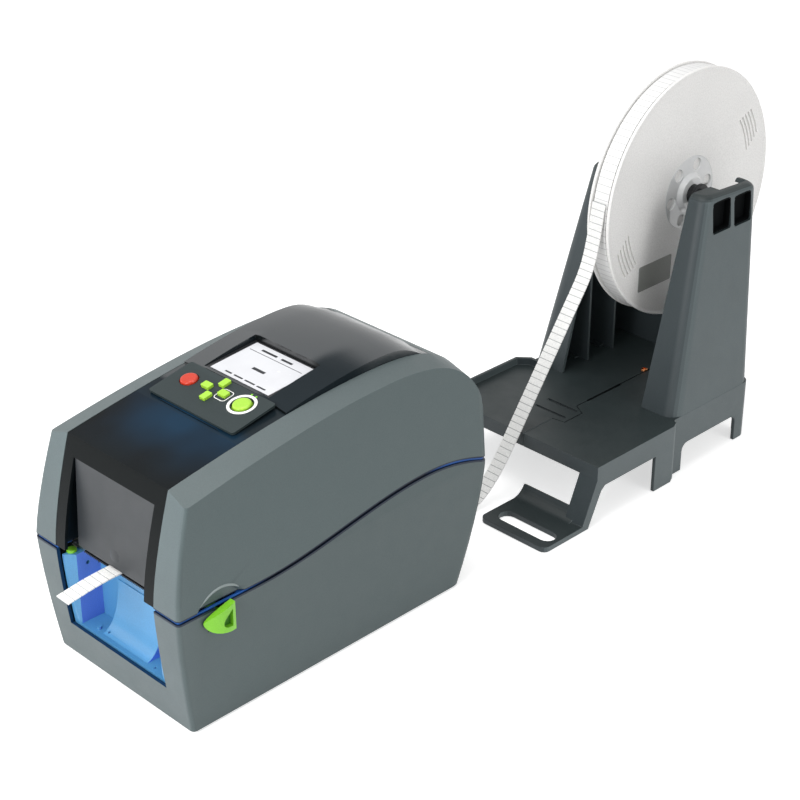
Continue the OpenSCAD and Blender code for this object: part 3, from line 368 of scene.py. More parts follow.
def seam_share(tree, where, middle, half, first, last):
    """1 in a band along the seam.

    The band lies middle above the base's edge, reaches half up and down, and runs from first to last."""
    at = axes(tree, where)
    rise = soft_step(tree, at["Y"], SEAM_START, SEAM_CREST, SEAM_LOW * MM, SEAM_HIGH * MM)
    past = maths(tree, "MAXIMUM", maths(tree, "SUBTRACT", at["Y"], SEAM_CREST), 0.0)
    fall = maths(tree, "MULTIPLY", maths(tree, "MULTIPLY", past, past), SEAM_FALL)
    height = maths(tree, "SUBTRACT", at["Z"], maths(tree, "SUBTRACT", rise, fall))
    off = maths(tree, "ABSOLUTE", maths(tree, "SUBTRACT", height, middle * MM), 0.0)
    band = soft_step(tree, off, (half + SEAM_SOFT) * MM, (half - SEAM_SOFT) * MM)
    begins = along_y(tree, at, first - SEAM_FADE, first + SEAM_FADE)
    ends = along_y(tree, at, last + SEAM_FADE, last - SEAM_FADE)
    return maths(tree, "MULTIPLY", band, maths(tree, "MULTIPLY", begins, ends))


# %% [markdown]
# Three recipes give nearly all finishes. Moulded plastic has clouds, grain and worn edges. Drawn or rolled
# metal has fine lines along one axis, which are noise stretched that way. Film, ceramic and the screen's
# glass are smooth and only a little mottled.

# %% Moulded plastic
CLOUD_SCALE, GLOSS_SCALE, GLOSS_RANGE = 22, 90, 0.05
GRAIN_DARK, GRAIN_PALE, GRAIN_DEEP = 0.94, 1.05, 0.0002


def moulded(name, colour, rough, grain, relief, wear=1.16, cloud=0.05, coat=0.0, mirror=0.35,
            turned=(), seam=None, band=(0.7, 2.0, -60, 360)):
    """Moulded plastic; turned gives other colours for faces turned to an axis, and seam one for a band along
    the seam; both serve as painted shade.
    """
    made, tree, shader, where = start(name)
    wide = noise(tree, where, CLOUD_SCALE, 3)
    body = drift(tree, wide, shade(colour, 1 - cloud), shade(colour, 1 + cloud))
    for axis, other in turned:
        body = blend_colour(tree, facing(tree, axis), body, other)
    if seam:
        body = blend_colour(tree, seam_share(tree, where, *band), body, seam)
    fine = noise(tree, where, grain, 2)
    dots = times(tree, body, ramp(tree, fine, 0.35, 0.65, grey(GRAIN_DARK), grey(GRAIN_PALE)))
    rub = ramp(tree, edge_wear(tree), 0.0, 1.0, grey(1), grey(wear))
    tree.links.new(times(tree, dots, rub), shader.inputs["Base Color"])
    spots = noise(tree, where, GLOSS_SCALE, 3)
    gloss = spread(tree, spots, rough - GLOSS_RANGE, rough + GLOSS_RANGE)
    tree.links.new(gloss, shader.inputs["Roughness"])
    bumps(tree, shader, fine, relief, GRAIN_DEEP)
    shader.inputs["Specular IOR Level"].default_value = mirror
    shader.inputs["Coat Weight"].default_value = coat
    shader.inputs["Coat Roughness"].default_value = 0.12
    return made


# %% Metal and smooth skins
LINE_LONG, LINE_FINE, LINE_DEEP = 8, 900, 0.0001


def metal(name, colour, rough, along, brush=0.2):
    """Drawn or rolled metal with fine lines along one axis."""
    made, tree, shader, where = start(name)
    stretch = tree.nodes.new("ShaderNodeMapping")
    stretch.inputs["Scale"].default_value = [LINE_LONG if axis == along else LINE_FINE for axis in "XYZ"]
    tree.links.new(where, stretch.inputs["Vector"])
    lines = noise(tree, stretch.outputs["Vector"], 1.0, 3, 0.6)
    tree.links.new(drift(tree, lines, shade(colour, 0.86), shade(colour, 1.08)), shader.inputs["Base Color"])
    tree.links.new(spread(tree, lines, rough - 0.08, rough + 0.1), shader.inputs["Roughness"])
    shader.inputs["Metallic"].default_value = 1.0
    bumps(tree, shader, lines, brush, LINE_DEEP)
    return made


def mottled(name, dark, pale, cloud, rough, spots, relief, strength, depth):
    """A smooth skin that drifts from dark to pale.

    cloud, spots and relief are the noises of colour, gloss and bumps, each as its scale and detail."""
    made, tree, shader, where = start(name)
    tree.links.new(drift(tree, noise(tree, where, *cloud), dark, pale), shader.inputs["Base Color"])
    tree.links.new(spread(tree, noise(tree, where, *spots), *rough), shader.inputs["Roughness"])
    bumps(tree, shader, noise(tree, where, *relief), strength, depth)
    return made


# %% Plastics, metals and rubber
RIGHT, FRONT, UP = (1, 0, 0), (0, -1, 0), (0, 0, 1)
# The case's faces turned right or up get painted shade, and its seam band is painted shade of the gap between
# base and lid.
case_grey = moulded("case_grey", tint(84, 95, 97), 0.46, 1600, 0.10, seam=tint(12, 26, 44),
                    turned=((RIGHT, tint(76, 88, 89)), (UP, tint(83, 93, 94))))
# Paler than the case: a painted highlight on the lips of the scoops
lip_highlight_grey = moulded("lip_highlight_grey", tint(126, 135, 136), 0.36, 1600, 0.05)
# The stand's faces turned to the front get painted shade, and those turned up a darker one, as they lie in the
# reel's shade.
stand_grey = moulded("stand_grey", tint(84, 94, 96), 0.44, 1500, 0.12, wear=1.08,
                     turned=((FRONT, tint(56, 64, 67)), (UP, tint(38, 46, 47))))
sky_blue = moulded("sky_blue", tint(80, 142, 188), 0.34, 1500, 0.06, coat=0.15)
# A deeper blue: painted shade on the tray's walls that face right
tray_shade_blue = moulded("tray_shade_blue", tint(98, 134, 226), 0.36, 1500, 0.06)
# The chassis darkens in a band along the seam: painted shade inside the gap between base and lid.
chassis_blue = moulded("chassis_blue", tint(34, 86, 160), 0.4, 1500, 0.08, cloud=0.25, seam=tint(8, 16, 28),
                       band=(1.0, 6.0, 58, 214))
lime = moulded("lime", tint(122, 194, 44), 0.34, 1800, 0.06, coat=0.2)
# A paler copy of the latches' green for the keys: a painted highlight
key_lime_highlight = moulded("key_lime_highlight", tint(164, 214, 62), 0.34, 1800, 0.06, coat=0.2)
signal_red = moulded("signal_red", tint(196, 52, 28), 0.34, 1800, 0.06, coat=0.2)
plate_grey = moulded("plate_grey", tint(44, 53, 54), 0.46, 1700, 0.10, mirror=0.2)
panel_grey = moulded("panel_grey", tint(48, 51, 54), 0.44, 1700, 0.10)
reel_white = moulded("reel_white", tint(247, 246, 244), 0.38, 900, 0.05, wear=1.05, cloud=0.02)
gear_white = moulded("gear_white", tint(226, 224, 214), 0.4, 900, 0.05, wear=1.05)
black_satin = moulded("black_satin", tint(26, 27, 29), 0.4, 1600, 0.10)
rubber_black = moulded("rubber_black", tint(32, 32, 33), 0.75, 700, 0.25, wear=1.3)
steel = metal("steel", tint(196, 198, 200), 0.32, "X")
alloy = metal("alloy", tint(208, 210, 212), 0.36, "X", 0.3)
dark_steel = metal("dark_steel", tint(58, 60, 64), 0.5, "X")
brass = metal("brass", tint(206, 168, 84), 0.3, "Z")
# A dark blue: painted shade on the walls of the opening in the base's front
opening_shade_blue = moulded("opening_shade_blue", tint(18, 52, 84), 0.5, 1500, 0.08, mirror=0.15)
# A darker green: painted shade in the latches' finger pockets
pocket_shade_lime = moulded("pocket_shade_lime", tint(58, 118, 30), 0.45, 1500, 0.08)
# Nearly black: painted shade in slots and joints too narrow for light to reach
narrow_gap_shade = moulded("narrow_gap_shade", tint(12, 15, 16), 0.7, 900, 0.1, mirror=0.05)
motor_paint = moulded("motor_paint", tint(40, 41, 43), 0.35, 1200, 0.08, coat=0.3)
print("finishes:", len(bpy.data.materials))

# %% [markdown]
# The window is smoked plastic. Light that falls through it meets the blue print module inside, so its
# slope is not black but a deep blue that gathers in the middle; that blue is light painted into the slope's
# colour, and faces turned to the front get a nearly black painted shade. Its roof is polished, and shines
# least to the right of the screen. On the slope the gloss is the same all over, so it is set on the shader
# itself.

# %% Smoked window
DULL, SHADED_SHINE = 0.08, 0.12
# Soft steps, each from where it starts to where it is full
SLOPE_FRONT, SLOPE_BACK, ROOF_FRONT = (14, 62), (82, 70), (84, 92)
SHADE_LEFT, SHADE_BACK = (14, 32), (196, 150)


def smoke(name, dark, pale, blue, mirror):
    """Polished smoked plastic; blue light from inside is painted into its slope, its front faces get painted
    shade, and mirror is the gloss of its roof.
    """
    made, tree, shader, where = start(name)
    at = axes(tree, where)
    haze = noise(tree, where, 14, 2)
    on_slope = maths(tree, "MULTIPLY", along_y(tree, at, *SLOPE_FRONT), along_y(tree, at, *SLOPE_BACK))
    # Blue light from the module inside, painted into the slope's colour
    deep = ramp(tree, haze, 0.36, 0.64, dark, blue)
    body = blend_colour(tree, on_slope, drift(tree, haze, dark, pale), deep)
    # Faces turned to the front: painted shade, nearly black
    body = blend_colour(tree, facing(tree, FRONT), body, tint(14, 18, 19))
    tree.links.new(body, shader.inputs["Base Color"])
    tree.links.new(spread(tree, noise(tree, where, 120, 3), 0.2, 0.27), shader.inputs["Roughness"])
    bumps(tree, shader, noise(tree, where, 500, 2), 0.02, 0.0001)
    shader.inputs["Specular IOR Level"].default_value = mirror
    if mirror > DULL:
        right = soft_step(tree, at["X"], *(place(x, 0, 0).x for x in SHADE_LEFT))
        shaded = maths(tree, "MULTIPLY", right, along_y(tree, at, *SHADE_BACK))
        lit = soft_step(tree, shaded, 0.0, 1.0, 1.0, SHADED_SHINE)
        amount = maths(tree, "MULTIPLY", lit, along_y(tree, at, *ROOF_FRONT))
        tree.links.new(soft_step(tree, amount, 0.0, 1.0, DULL, mirror), shader.inputs["Specular IOR Level"])
    return made


smoked = smoke("smoked", tint(20, 29, 34), tint(28, 37, 42), tint(20, 44, 62), 0.9)
smoked_slope = smoke("smoked_slope", tint(10, 14, 16), tint(18, 24, 27), tint(16, 46, 68), DULL)
print("window finishes:", smoked.name, smoked_slope.name)

# %% [markdown]
# The reel's hub is clear, glossy plastic, which shows mainly by its bright edges. Circuit boards have
# a green lacquer over copper tracks; a grid of fine lines in two directions is enough to read as such.

# %% Clear hub, boards, ribbon and ceramic
clear, tree, shader, where = start("clear")
milk = noise(tree, where, 60, 2)
tree.links.new(drift(tree, milk, tint(228, 230, 231), tint(242, 243, 243)), shader.inputs["Base Color"])
tree.links.new(spread(tree, milk, 0.06, 0.14), shader.inputs["Roughness"])
shader.inputs["Transmission Weight"].default_value = 0.12
shader.inputs["Coat Weight"].default_value = 0.6
shader.inputs["Coat Roughness"].default_value = 0.05
shader.inputs["IOR"].default_value = 1.49
bumps(tree, shader, noise(tree, where, 220, 2), 0.02, 0.0002)

lacquer, tree, shader, where = start("lacquer")
tracks = tree.nodes.new("ShaderNodeTexBrick")
tracks.inputs["Scale"].default_value = 160
tracks.inputs["Mortar Size"].default_value = 0.03
tracks.inputs["Color1"].default_value = tint(22, 92, 52)
tracks.inputs["Color2"].default_value = tint(26, 104, 60)
tracks.inputs["Mortar"].default_value = tint(64, 140, 84)
tree.links.new(where, tracks.inputs["Vector"])
tree.links.new(tracks.outputs["Color"], shader.inputs["Base Color"])
tree.links.new(spread(tree, noise(tree, where, 150, 2), 0.25, 0.4), shader.inputs["Roughness"])
bumps(tree, shader, tracks.outputs["Fac"], 0.15, 0.0001)

ribbon_black = mottled("ribbon_black", tint(18, 18, 22), tint(30, 30, 36), (300, 2),
                       (0.2, 0.36), (40, 3), (90, 2), 0.1, 0.0003)
ceramic = mottled("ceramic", tint(226, 222, 208), tint(240, 236, 226), (200, 2),
                  (0.14, 0.26), (80, 2), (400, 2), 0.04, 0.0001)
print("finishes:", len(bpy.data.materials))

# %% [markdown]
# On the reel the tags lie around a circle, so their lines follow from the angle about the reel's axis: a
# radial gradient is cut into as many steps as there are tags in one turn, and the first part of each
# step is the line. The line's grey is painted shade of the groove between two tags.

# %% Wound tags
REEL_X, REEL_Y, REEL_Z = 6.0, 533.3, 184.3
REEL = place(REEL_X, REEL_Y, REEL_Z)
WOUND, OUTER_TURN = 88.0, 93.0
TAG = 5.0
tags_in_turn = round(2 * math.pi * WOUND / TAG)
wound_tags, tree, shader, where = start("wound_tags")
centred = tree.nodes.new("ShaderNodeMapping")
centred.inputs["Rotation"].default_value = (0, QUARTER, 0)
centred.inputs["Location"].default_value = (-REEL.z, -REEL.y, REEL.x)
tree.links.new(where, centred.inputs["Vector"])
around = tree.nodes.new("ShaderNodeTexGradient")
around.gradient_type = "RADIAL"
tree.links.new(centred.outputs["Vector"], around.inputs["Vector"])
tag_number = maths(tree, "MULTIPLY", around.outputs["Fac"], float(tags_in_turn))
in_tag = maths(tree, "FRACT", tag_number, 0.0)
tag_groove_shade = ramp(tree, in_tag, 0.07, 0.11, tint(204, 204, 204), tint(246, 246, 245))
cloudy = drift(tree, noise(tree, where, 30, 2), grey(0.96), grey(1))
tree.links.new(times(tree, tag_groove_shade, cloudy), shader.inputs["Base Color"])
tree.links.new(spread(tree, noise(tree, where, 90, 2), 0.36, 0.5), shader.inputs["Roughness"])
bumps(tree, shader, tag_groove_shade, 0.3, 0.0002)
print("tags in one turn:", tags_in_turn)

# %% [markdown]
# ## Rounded edges
# No moulded or machined edge is knife sharp, and the thin bright line along it tells the eye what the
# thing is made of. Each solid is copied, its loose triangles are joined, flat areas are merged, and a
# bevel rounds the sharp edges. The copy then stands for the solid.

# %% Hands


def only(obj):
    """Select one object alone and make it the active one."""
    bpy.ops.object.select_all(action="DESELECT")
    obj.select_set(True)
    bpy.context.view_layer.objects.active = obj


def pick(obj, wanted):
    """Go into edit mode with just the wanted faces selected."""
    only(obj)
    bpy.ops.object.mode_set(mode="EDIT")
    bpy.ops.mesh.select_mode(type="FACE")
    bpy.ops.mesh.select_all(action="DESELECT")
    bpy.ops.object.mode_set(mode="OBJECT")
    for face in obj.data.polygons:
        face.select = wanted(face)
    bpy.ops.object.mode_set(mode="EDIT")


def draw_out(x, y, z):
    """Draw the selected faces out by so many millimetres."""
    bpy.ops.mesh.extrude_region_move(TRANSFORM_OT_translate={"value": (x * MM, y * MM, z * MM)})


def end_edit():
    """Make all normals point outward and go back to object mode."""
    bpy.ops.mesh.select_mode(type="VERT")
    bpy.ops.mesh.select_all(action="SELECT")
    bpy.ops.mesh.normals_make_consistent(inside=False)
    bpy.ops.object.mode_set(mode="OBJECT")


def set_down(obj, at, turn=(0, 0, 0)):
    """Turn the active piece, put it in its place, and write both into its mesh."""
    obj.rotation_euler = turn
    obj.location = at
    bpy.ops.object.transform_apply(location=True, rotation=True, scale=True)


def apply_all(obj):
    only(obj)
    for m in list(obj.modifiers):
        bpy.ops.object.modifier_apply(modifier=m.name)


# %% Skins
WELD = 2e-6
FLAT, SHARP, SMOOTH = math.radians(0.4), math.radians(38), math.radians(35)
skins = {}


def skin(name, look, edge):
    """A copy of a solid with joined faces and rounded edges; edge is the rounding in millimetres."""
    obj = bpy.data.objects.new(name + "_skin", solids[name].data.copy())
    bpy.context.scene.collection.objects.link(obj)
    only(obj)
    bpy.ops.mesh.customdata_custom_splitnormals_clear()
    bpy.ops.object.mode_set(mode="EDIT")
    bpy.ops.mesh.select_all(action="SELECT")
    bpy.ops.mesh.remove_doubles(threshold=WELD)
    bpy.ops.mesh.dissolve_limited(angle_limit=FLAT)
    bpy.ops.object.mode_set(mode="OBJECT")
    if edge:
        rounding = obj.modifiers.new("rounding", "BEVEL")
        rounding.width = edge * MM
        rounding.segments = 2
        rounding.limit_method = "ANGLE"
        rounding.angle_limit = SHARP
        rounding.use_clamp_overlap = True
        rounding.miter_outer = "MITER_ARC"
    bpy.ops.object.shade_smooth_by_angle(angle=SMOOTH)
    even = obj.modifiers.new("even", "WEIGHTED_NORMAL")
    even.keep_sharp = True
    apply_all(obj)
    obj.data.materials.clear()
    obj.data.materials.append(look)
    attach(obj, carrier[name])
    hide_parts(name)
    return obj


def skin_all(*rows):
    for name, look, edge in rows:
        skins[name] = skin(name, look, edge)
    print("skins so far:", len(skins))


# %% Case, tray, window and controls
skin_all(
    ("base_shell", case_grey, 1.1), ("lid_shell", case_grey, 0.9), ("top_window", smoked, 0.7),
    ("chassis", chassis_blue, 0.3), ("front_tray", sky_blue, 0.6), ("front_panel", panel_grey, 0.4),
    ("control_plate", plate_grey, 0.35), ("stop_button", signal_red, 0.5), ("key_left", key_lime_highlight, 0.45),
    ("key_right", key_lime_highlight, 0.45), ("key_up", key_lime_highlight, 0.45), ("key_down", key_lime_highlight, 0.45),
    ("enter_button", key_lime_highlight, 0.5), ("enter_ring", reel_white, 0.12), ("indicator_lights", lime, 0.15),
    ("latch_left", lime, 0.5), ("latch_right", lime, 0.5), ("hinge_block", black_satin, 0.4),
    ("lid_hinge_arms", black_satin, 0.5), ("rear_panel", black_satin, 0.4), ("rear_sockets", black_satin, 0.25),
    ("power_switch", black_satin, 0.3), ("screen_panel", black_satin, 0.2),
)

# %% [markdown]
# Some faces of a skin get a second material, most of them painted shade. The window's slope lets more light
# in than it throws back. The tray's walls that face right lie in its own shade, and so do the finger pockets
# of the latches; both get a deeper copy of their colour as painted shade. The walls of the opening in the
# base's front get a dark blue painted shade. Faces are chosen by their place and by the way they face, and get
# the second material of the skin.

# %% Second finishes of the case
SLOPE_TOP = 74
OPENING_DEEP, SILL_TOP = 20, 40
SMALL_FACE = 90e-6
FINGER_FRONT, FINGER_BACK = place(0, 28.9, 0).y, place(0, 36.9, 0).y
FINGER_LOW, FINGER_HIGH = 69.9 * MM, 82.6 * MM
FINGER_IN, FINGER_OUT = 67.2 * MM, 72.5 * MM


def second_look(name, look, chosen):
    """Give another finish to the chosen faces of a skin."""
    mesh = skins[name].data
    mesh.materials.append(look)
    for face in mesh.polygons:
        if chosen(face):
            face.material_index = 1
    print(name, "faces in", look.name, sum(face.material_index for face in mesh.polygons))


def opening_wall(face):
    """A side or the sill of the opening in the base's front."""
    at, way = face.center, face.normal
    out = at.x - MIDDLE_X
    inward = way.x * out < -0.3 * abs(out)
    sill = way.z > 0.3 and at.z < SILL_TOP * MM
    return at.y < place(0, OPENING_DEEP, 0).y and way.y > -0.6 and (inward or sill)


def finger_pocket(face):
    at = face.center
    in_side = FINGER_FRONT < at.y < FINGER_BACK and FINGER_LOW < at.z < FINGER_HIGH
    in_depth = FINGER_IN < abs(at.x - MIDDLE_X) < FINGER_OUT
    return in_side and in_depth and face.area < SMALL_FACE


second_look("top_window", smoked_slope, lambda face: face.center.y < place(0, SLOPE_TOP, 0).y)
second_look("front_tray", tray_shade_blue, lambda face: face.normal.x > 0.9)
second_look("base_shell", opening_shade_blue, opening_wall)
for name in ("latch_left", "latch_right"):
    second_look(name, pocket_shade_lime, finger_pocket)

# %% [markdown]
# ## Stand and reel
# The stand is moulded in two halves that meet along the middle of the deck, and each half carries a tower.
# Slots and joints of the deck, and the joint under each tower, are too narrow for light to reach, so their
# faces get a nearly black painted shade.

# %% Stand and reel
DECK_Z, STAND_X = 46.5, 6.5
DECK_HALF, DECK_FIRST, DECK_LAST = 58, 392, 541
skin_all(
    ("stand_left", stand_grey, 0.7), ("stand_right", stand_grey, 0.7), ("tower_left", stand_grey, 1.4),
    ("tower_right", stand_grey, 1.4), ("reel_flanges", reel_white, 0.8), ("reel_hub", clear, 0.3),
    ("reel_shaft", black_satin, 0.4), ("strip_winding", wound_tags, 0.1),
)


def deck_groove(face):
    at = face.center
    across = abs(at.x - place(STAND_X, 0, 0).x) < DECK_HALF * MM
    along = place(0, DECK_FIRST, 0).y < at.y < place(0, DECK_LAST, 0).y
    sunk = (DECK_Z - 1.3) * MM < at.z < (DECK_Z - 0.02) * MM
    return across and along and sunk and face.area < SMALL_FACE


def tower_foot(face):
    return face.normal.z < -0.2 and face.center.z < (DECK_Z + 0.6) * MM


for side in ("left", "right"):
    second_look("stand_" + side, narrow_gap_shade, deck_groove)
    second_look("tower_" + side, narrow_gap_shade, tower_foot)

# %% [markdown]
# ## Works inside
# Roller, gears, motor, guides, boards and the print module with its ribbon lie under the lid, and some of
# them show when it opens. They are skins like the case, with smaller rounded edges, as cut and stamped
# parts have them.

# %% Works inside
skin_all(
    ("base_feet", rubber_black, 0.4), ("base_screws", steel, 0.15), ("platen_frame", steel, 0.25),
    ("platen_bearings", black_satin, 0.2), ("platen_shaft", steel, 0.2), ("platen_roller", rubber_black, 0.3),
    ("platen_gear", gear_white, 0.08), ("idler_gear", gear_white, 0.08), ("drive_motor", motor_paint, 0.4),
    ("motor_pinion", brass, 0.06), ("tear_bar", dark_steel, 0.06), ("guide_rod", steel, 0.2),
    ("guide_left", sky_blue, 0.3), ("guide_right", sky_blue, 0.3), ("main_board", lacquer, 0.15),
    ("latch_pins", steel, 0.2), ("hinge_pin", steel, 0.2), ("latch_catches", steel, 0.2),
    ("control_board", lacquer, 0.15), ("module_frame", chassis_blue, 0.35), ("head_bracket", steel, 0.2),
    ("print_head", alloy, 0.2), ("head_strip", ceramic, 0.1), ("supply_spindle", black_satin, 0.3),
    ("supply_roll", ribbon_black, 0.3), ("takeup_spindle", black_satin, 0.3),
    ("takeup_roll", ribbon_black, 0.3), ("ribbon_film", ribbon_black, 0.0),
)

# %% [markdown]
# ## Marker strip
# The strip is a ladder of small white tags that are broken off one by one, so there is a thin web with
# a groove after each tag. A picture of lines would do from afar, but grooves catch real shade, and the web and
# the ends of each tag also get a grey painted shade. One tag is modelled with its web, an Array modifier
# repeats it and a Curve modifier lays the row along the route of the CAD strip: out of the printer, down to the
# desk and up to the reel.

# %% Route of the strip
PRINT_LINE, ON_DESK = 84.25, 1.5
HEAD_END, REAR_SLOT = (62, 81.7), (253, 46.6)
STRIP_X, STRIP_Y = -3, 10
SIDE_SHIFT, SIDE_RUN = 9, 460
STRIP_LIFT = 0.8


def sweep(a, b, c, d, n):
    """Points of a curve that leaves a towards b and comes to d from c."""
    a, b, c, d = (Vector(p) for p in (a, b, c, d))
    return [(1 - t) ** 3 * a + 3 * (1 - t) ** 2 * t * b + 3 * (1 - t) * t * t * c + t ** 3 * d
            for t in (i / n for i in range(n + 1))]


fall = (HEAD_END[1] - REAR_SLOT[1]) / (REAR_SLOT[0] - HEAD_END[0])
leave_at = math.radians(168)
leave = Vector((REEL_Y, REEL_Z)) + (OUTER_TURN + STRIP_LIFT) * Vector((math.cos(leave_at), math.sin(leave_at)))
leave_way = Vector((math.sin(leave_at), -math.cos(leave_at)))
foot, rise_end = Vector((357.2, 44.3)), Vector((424, 140.5))
rise_way = (rise_end - foot).normalized()
# Each sweep is a bend, by y and z of the drawing; between two bends the strip runs straight
route = sweep((-27.5, 80), (-14, 82.4), (0, PRINT_LINE), (14, PRINT_LINE), 12)
route += sweep((38, PRINT_LINE), (46, PRINT_LINE), (54, HEAD_END[1] + 8 * fall), HEAD_END, 10)
route += sweep(REAR_SLOT, (275, REAR_SLOT[1] - 22 * fall), (279, ON_DESK), (304, ON_DESK), 20)
route += sweep((304, ON_DESK), (328, ON_DESK), foot - 22 * rise_way, foot, 16)[1:]
route += sweep(rise_end, rise_end + 22 * rise_way, leave - 24 * leave_way, leave, 16)
lean = math.atan(SIDE_SHIFT / SIDE_RUN)
length = sum((b - a).length for a, b in zip(route, route[1:]))
path_data = bpy.data.curves.new("strip_path", "CURVE")
path_data.dimensions = "3D"
path_data.twist_mode = "Z_UP"
spline = path_data.splines.new("POLY")
spline.points.add(len(route) - 1)
for point, (y, z) in zip(spline.points, route):
    run = y - STRIP_Y
    at = place(STRIP_X + run * math.sin(lean), STRIP_Y + run * math.cos(lean), z)
    point.co = (at.x, at.y, at.z, 1)
path = bpy.data.objects.new("strip_path", path_data)
bpy.context.scene.collection.objects.link(path)
print("strip length in mm:", round(length, 1))

# %% One tag and its web
TAG_LONG, STRIP_WIDE, STRIP_THICK = 4.5, 12, 0.9
TAG_ROUND, WEB_INSET, WEB_LONG = 0.1, 0.12, 0.6
strip_white = moulded("strip_white", tint(240, 240, 238), 0.46, 900, 0.05, wear=1.02, cloud=0.02)
# The web and the ends of each tag: grey painted shade of the grooves between tags
web_shade_grey = moulded("web_shade_grey", tint(172, 174, 174), 0.6, 900, 0.05, cloud=0.02)
bpy.ops.object.select_all(action="DESELECT")
bpy.ops.mesh.primitive_cube_add(size=1)
strip = bpy.context.active_object
strip.name = "tag_strip"
strip.scale = (TAG_LONG * MM, STRIP_WIDE * MM, STRIP_THICK * MM)
strip.location = (TAG_LONG / 2 * MM, 0, 0)
bpy.ops.object.transform_apply(location=True, rotation=False, scale=True)
bpy.ops.object.mode_set(mode="EDIT")
bpy.ops.mesh.select_all(action="SELECT")
bpy.ops.mesh.bevel(offset=TAG_ROUND * MM, segments=1, affect="EDGES")
bpy.ops.object.mode_set(mode="OBJECT")
pick(strip, lambda face: face.normal.x > 0.99)
bpy.ops.mesh.inset(thickness=WEB_INSET * MM)
draw_out(WEB_LONG, 0, 0)
end_edit()
strip.data.materials.append(strip_white)
strip.data.materials.append(web_shade_grey)
for face in strip.data.polygons:
    in_web = face.center.x > (TAG_LONG - 0.05) * MM
    face.material_index = 1 if in_web or abs(face.normal.x) > 0.9 else 0
print("faces of one tag:", len(strip.data.polygons))

# %% Row of tags along the route
row = strip.modifiers.new("row", "ARRAY")
row.use_relative_offset = False
row.use_constant_offset = True
row.constant_offset_displace = (TAG * MM, 0, 0)
row.count = int(length / TAG)
follow = strip.modifiers.new("follow", "CURVE")
follow.object = path
follow.deform_axis = "POS_X"
apply_all(strip)
bpy.data.objects.remove(path)
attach(strip, carrier["marker_strip"])
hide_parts("marker_strip")
for corner, end in zip(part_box("marker_strip"), (min, max)):
    off = [end(v.co[k] for v in strip.data.vertices) - corner[k] for k in range(3)]
    print("strip box off by, mm:", [round(v / MM, 2) for v in off])

# %% [markdown]
# ## Prints and thin plates
# The picture on the screen, the thin white line on the control plate and the bare plate on the reel are all
# the same kind of thing: a flat patch with round corners and hardly any thickness. Each starts as a
# plane, gets its corners bevelled and is drawn up a little; a ring is inset first and loses its middle.

# %% Thin plate helper


def thin_plate(name, at, wide, deep, thick, corner, turn=(0, 0, 0), line=0.0):
    """A thin plate with round corners, or with line a ring of that width; sizes in millimetres."""
    bpy.ops.object.select_all(action="DESELECT")
    bpy.ops.mesh.primitive_plane_add(size=1)
    obj = bpy.context.active_object
    obj.name = name
    obj.scale = (wide * MM, deep * MM, 1)
    bpy.ops.object.transform_apply(location=False, rotation=False, scale=True)
    bpy.ops.object.mode_set(mode="EDIT")
    bpy.ops.mesh.select_all(action="SELECT")
    bpy.ops.mesh.bevel(offset=corner * MM, segments=4, affect="VERTICES")
    bpy.ops.mesh.select_all(action="SELECT")
    if line:
        bpy.ops.mesh.inset(thickness=line * MM)
        bpy.ops.mesh.delete(type="FACE")
        bpy.ops.mesh.select_all(action="SELECT")
    draw_out(0, 0, thick)
    end_edit()
    set_down(obj, at, turn)
    return obj


def dress(obj, look, node):
    """Give a new piece its finish; it rides with the body of a CAD node."""
    obj.data.materials.clear()
    obj.data.materials.append(look)
    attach(obj, carrier[node])


# %% Picture on the screen
SCREEN_Y, SCREEN_Z = 107.8, 176.4
SCREEN_TILT = math.atan2(3.6, 41.6)


def on_screen(x, y, lift=0.0):
    return place(x, y, SCREEN_Z + (y - SCREEN_Y) * math.tan(SCREEN_TILT) + lift)


lit_white = mottled("lit_white", tint(218, 219, 223), tint(226, 227, 231), (40, 2),
                    (0.2, 0.28), (200, 2), (2000, 1), 0.03, 0.00005)
picture = thin_plate("screen_picture", on_screen(0.5, 128.6), 54, 38.4, 0.15, 0.6, (SCREEN_TILT, 0, 0))
dress(picture, lit_white, "screen_panel")
print("picture:", [round(v / MM, 1) for v in picture.dimensions], "mm")

# %% Bars in the picture
ink = moulded("ink", tint(34, 36, 40), 0.5, 1500, 0.05)
# Middle, width and depth of each bar
bars = [
    thin_plate("screen_marks", on_screen(x, y, 0.13), wide, deep, 0.08, 0.15, (SCREEN_TILT, 0, 0))
    for x, y, wide, deep in (
        (0.0, 139.6, 48, 0.45), (0.8, 125.2, 11, 2.4), (-12.5, 112.4, 6, 1.3), (-3.4, 112.4, 8, 1.3),
        (7.2, 112.4, 9, 1.3), (17.6, 112.4, 7.6, 1.3), (-9.5, 143.2, 14, 1.8), (6.5, 143.2, 10, 1.8))
]
print("bars on the screen:", len(bars))
bpy.ops.object.select_all(action="DESELECT")
for bar in bars:
    bar.select_set(True)
bpy.context.view_layer.objects.active = bars[0]
bpy.ops.object.join()
dress(bars[0], ink, "screen_panel")

# %% White line on the control plate and bare plate on the reel
PLATE_Y, PLATE_Z = 88.2, 173.75
PLATE_TILT = math.radians(11.15)


def on_plate(x, v, lift):
    return place(x, PLATE_Y + v * math.cos(PLATE_TILT) - lift * math.sin(PLATE_TILT),
                 PLATE_Z + v * math.sin(PLATE_TILT) + lift * math.cos(PLATE_TILT))


trace = thin_plate("plate_line", on_plate(5.6, 5.2, -0.02), 10, 10.4, 0.14, 2.4, (PLATE_TILT, 0, 0), 0.5)
dress(trace, reel_white, "enter_ring")
bare_grey = moulded("bare_grey", tint(138, 140, 136), 0.4, 1500, 0.04, cloud=0.06)
bare = thin_plate("bare_plate", place(14.5, 498, 130), 20, 38, 0.42, 1.2, (0, QUARTER, 0))
dress(bare, bare_grey, "reel_flanges")
print("thin plates:", trace.name, bare.name)
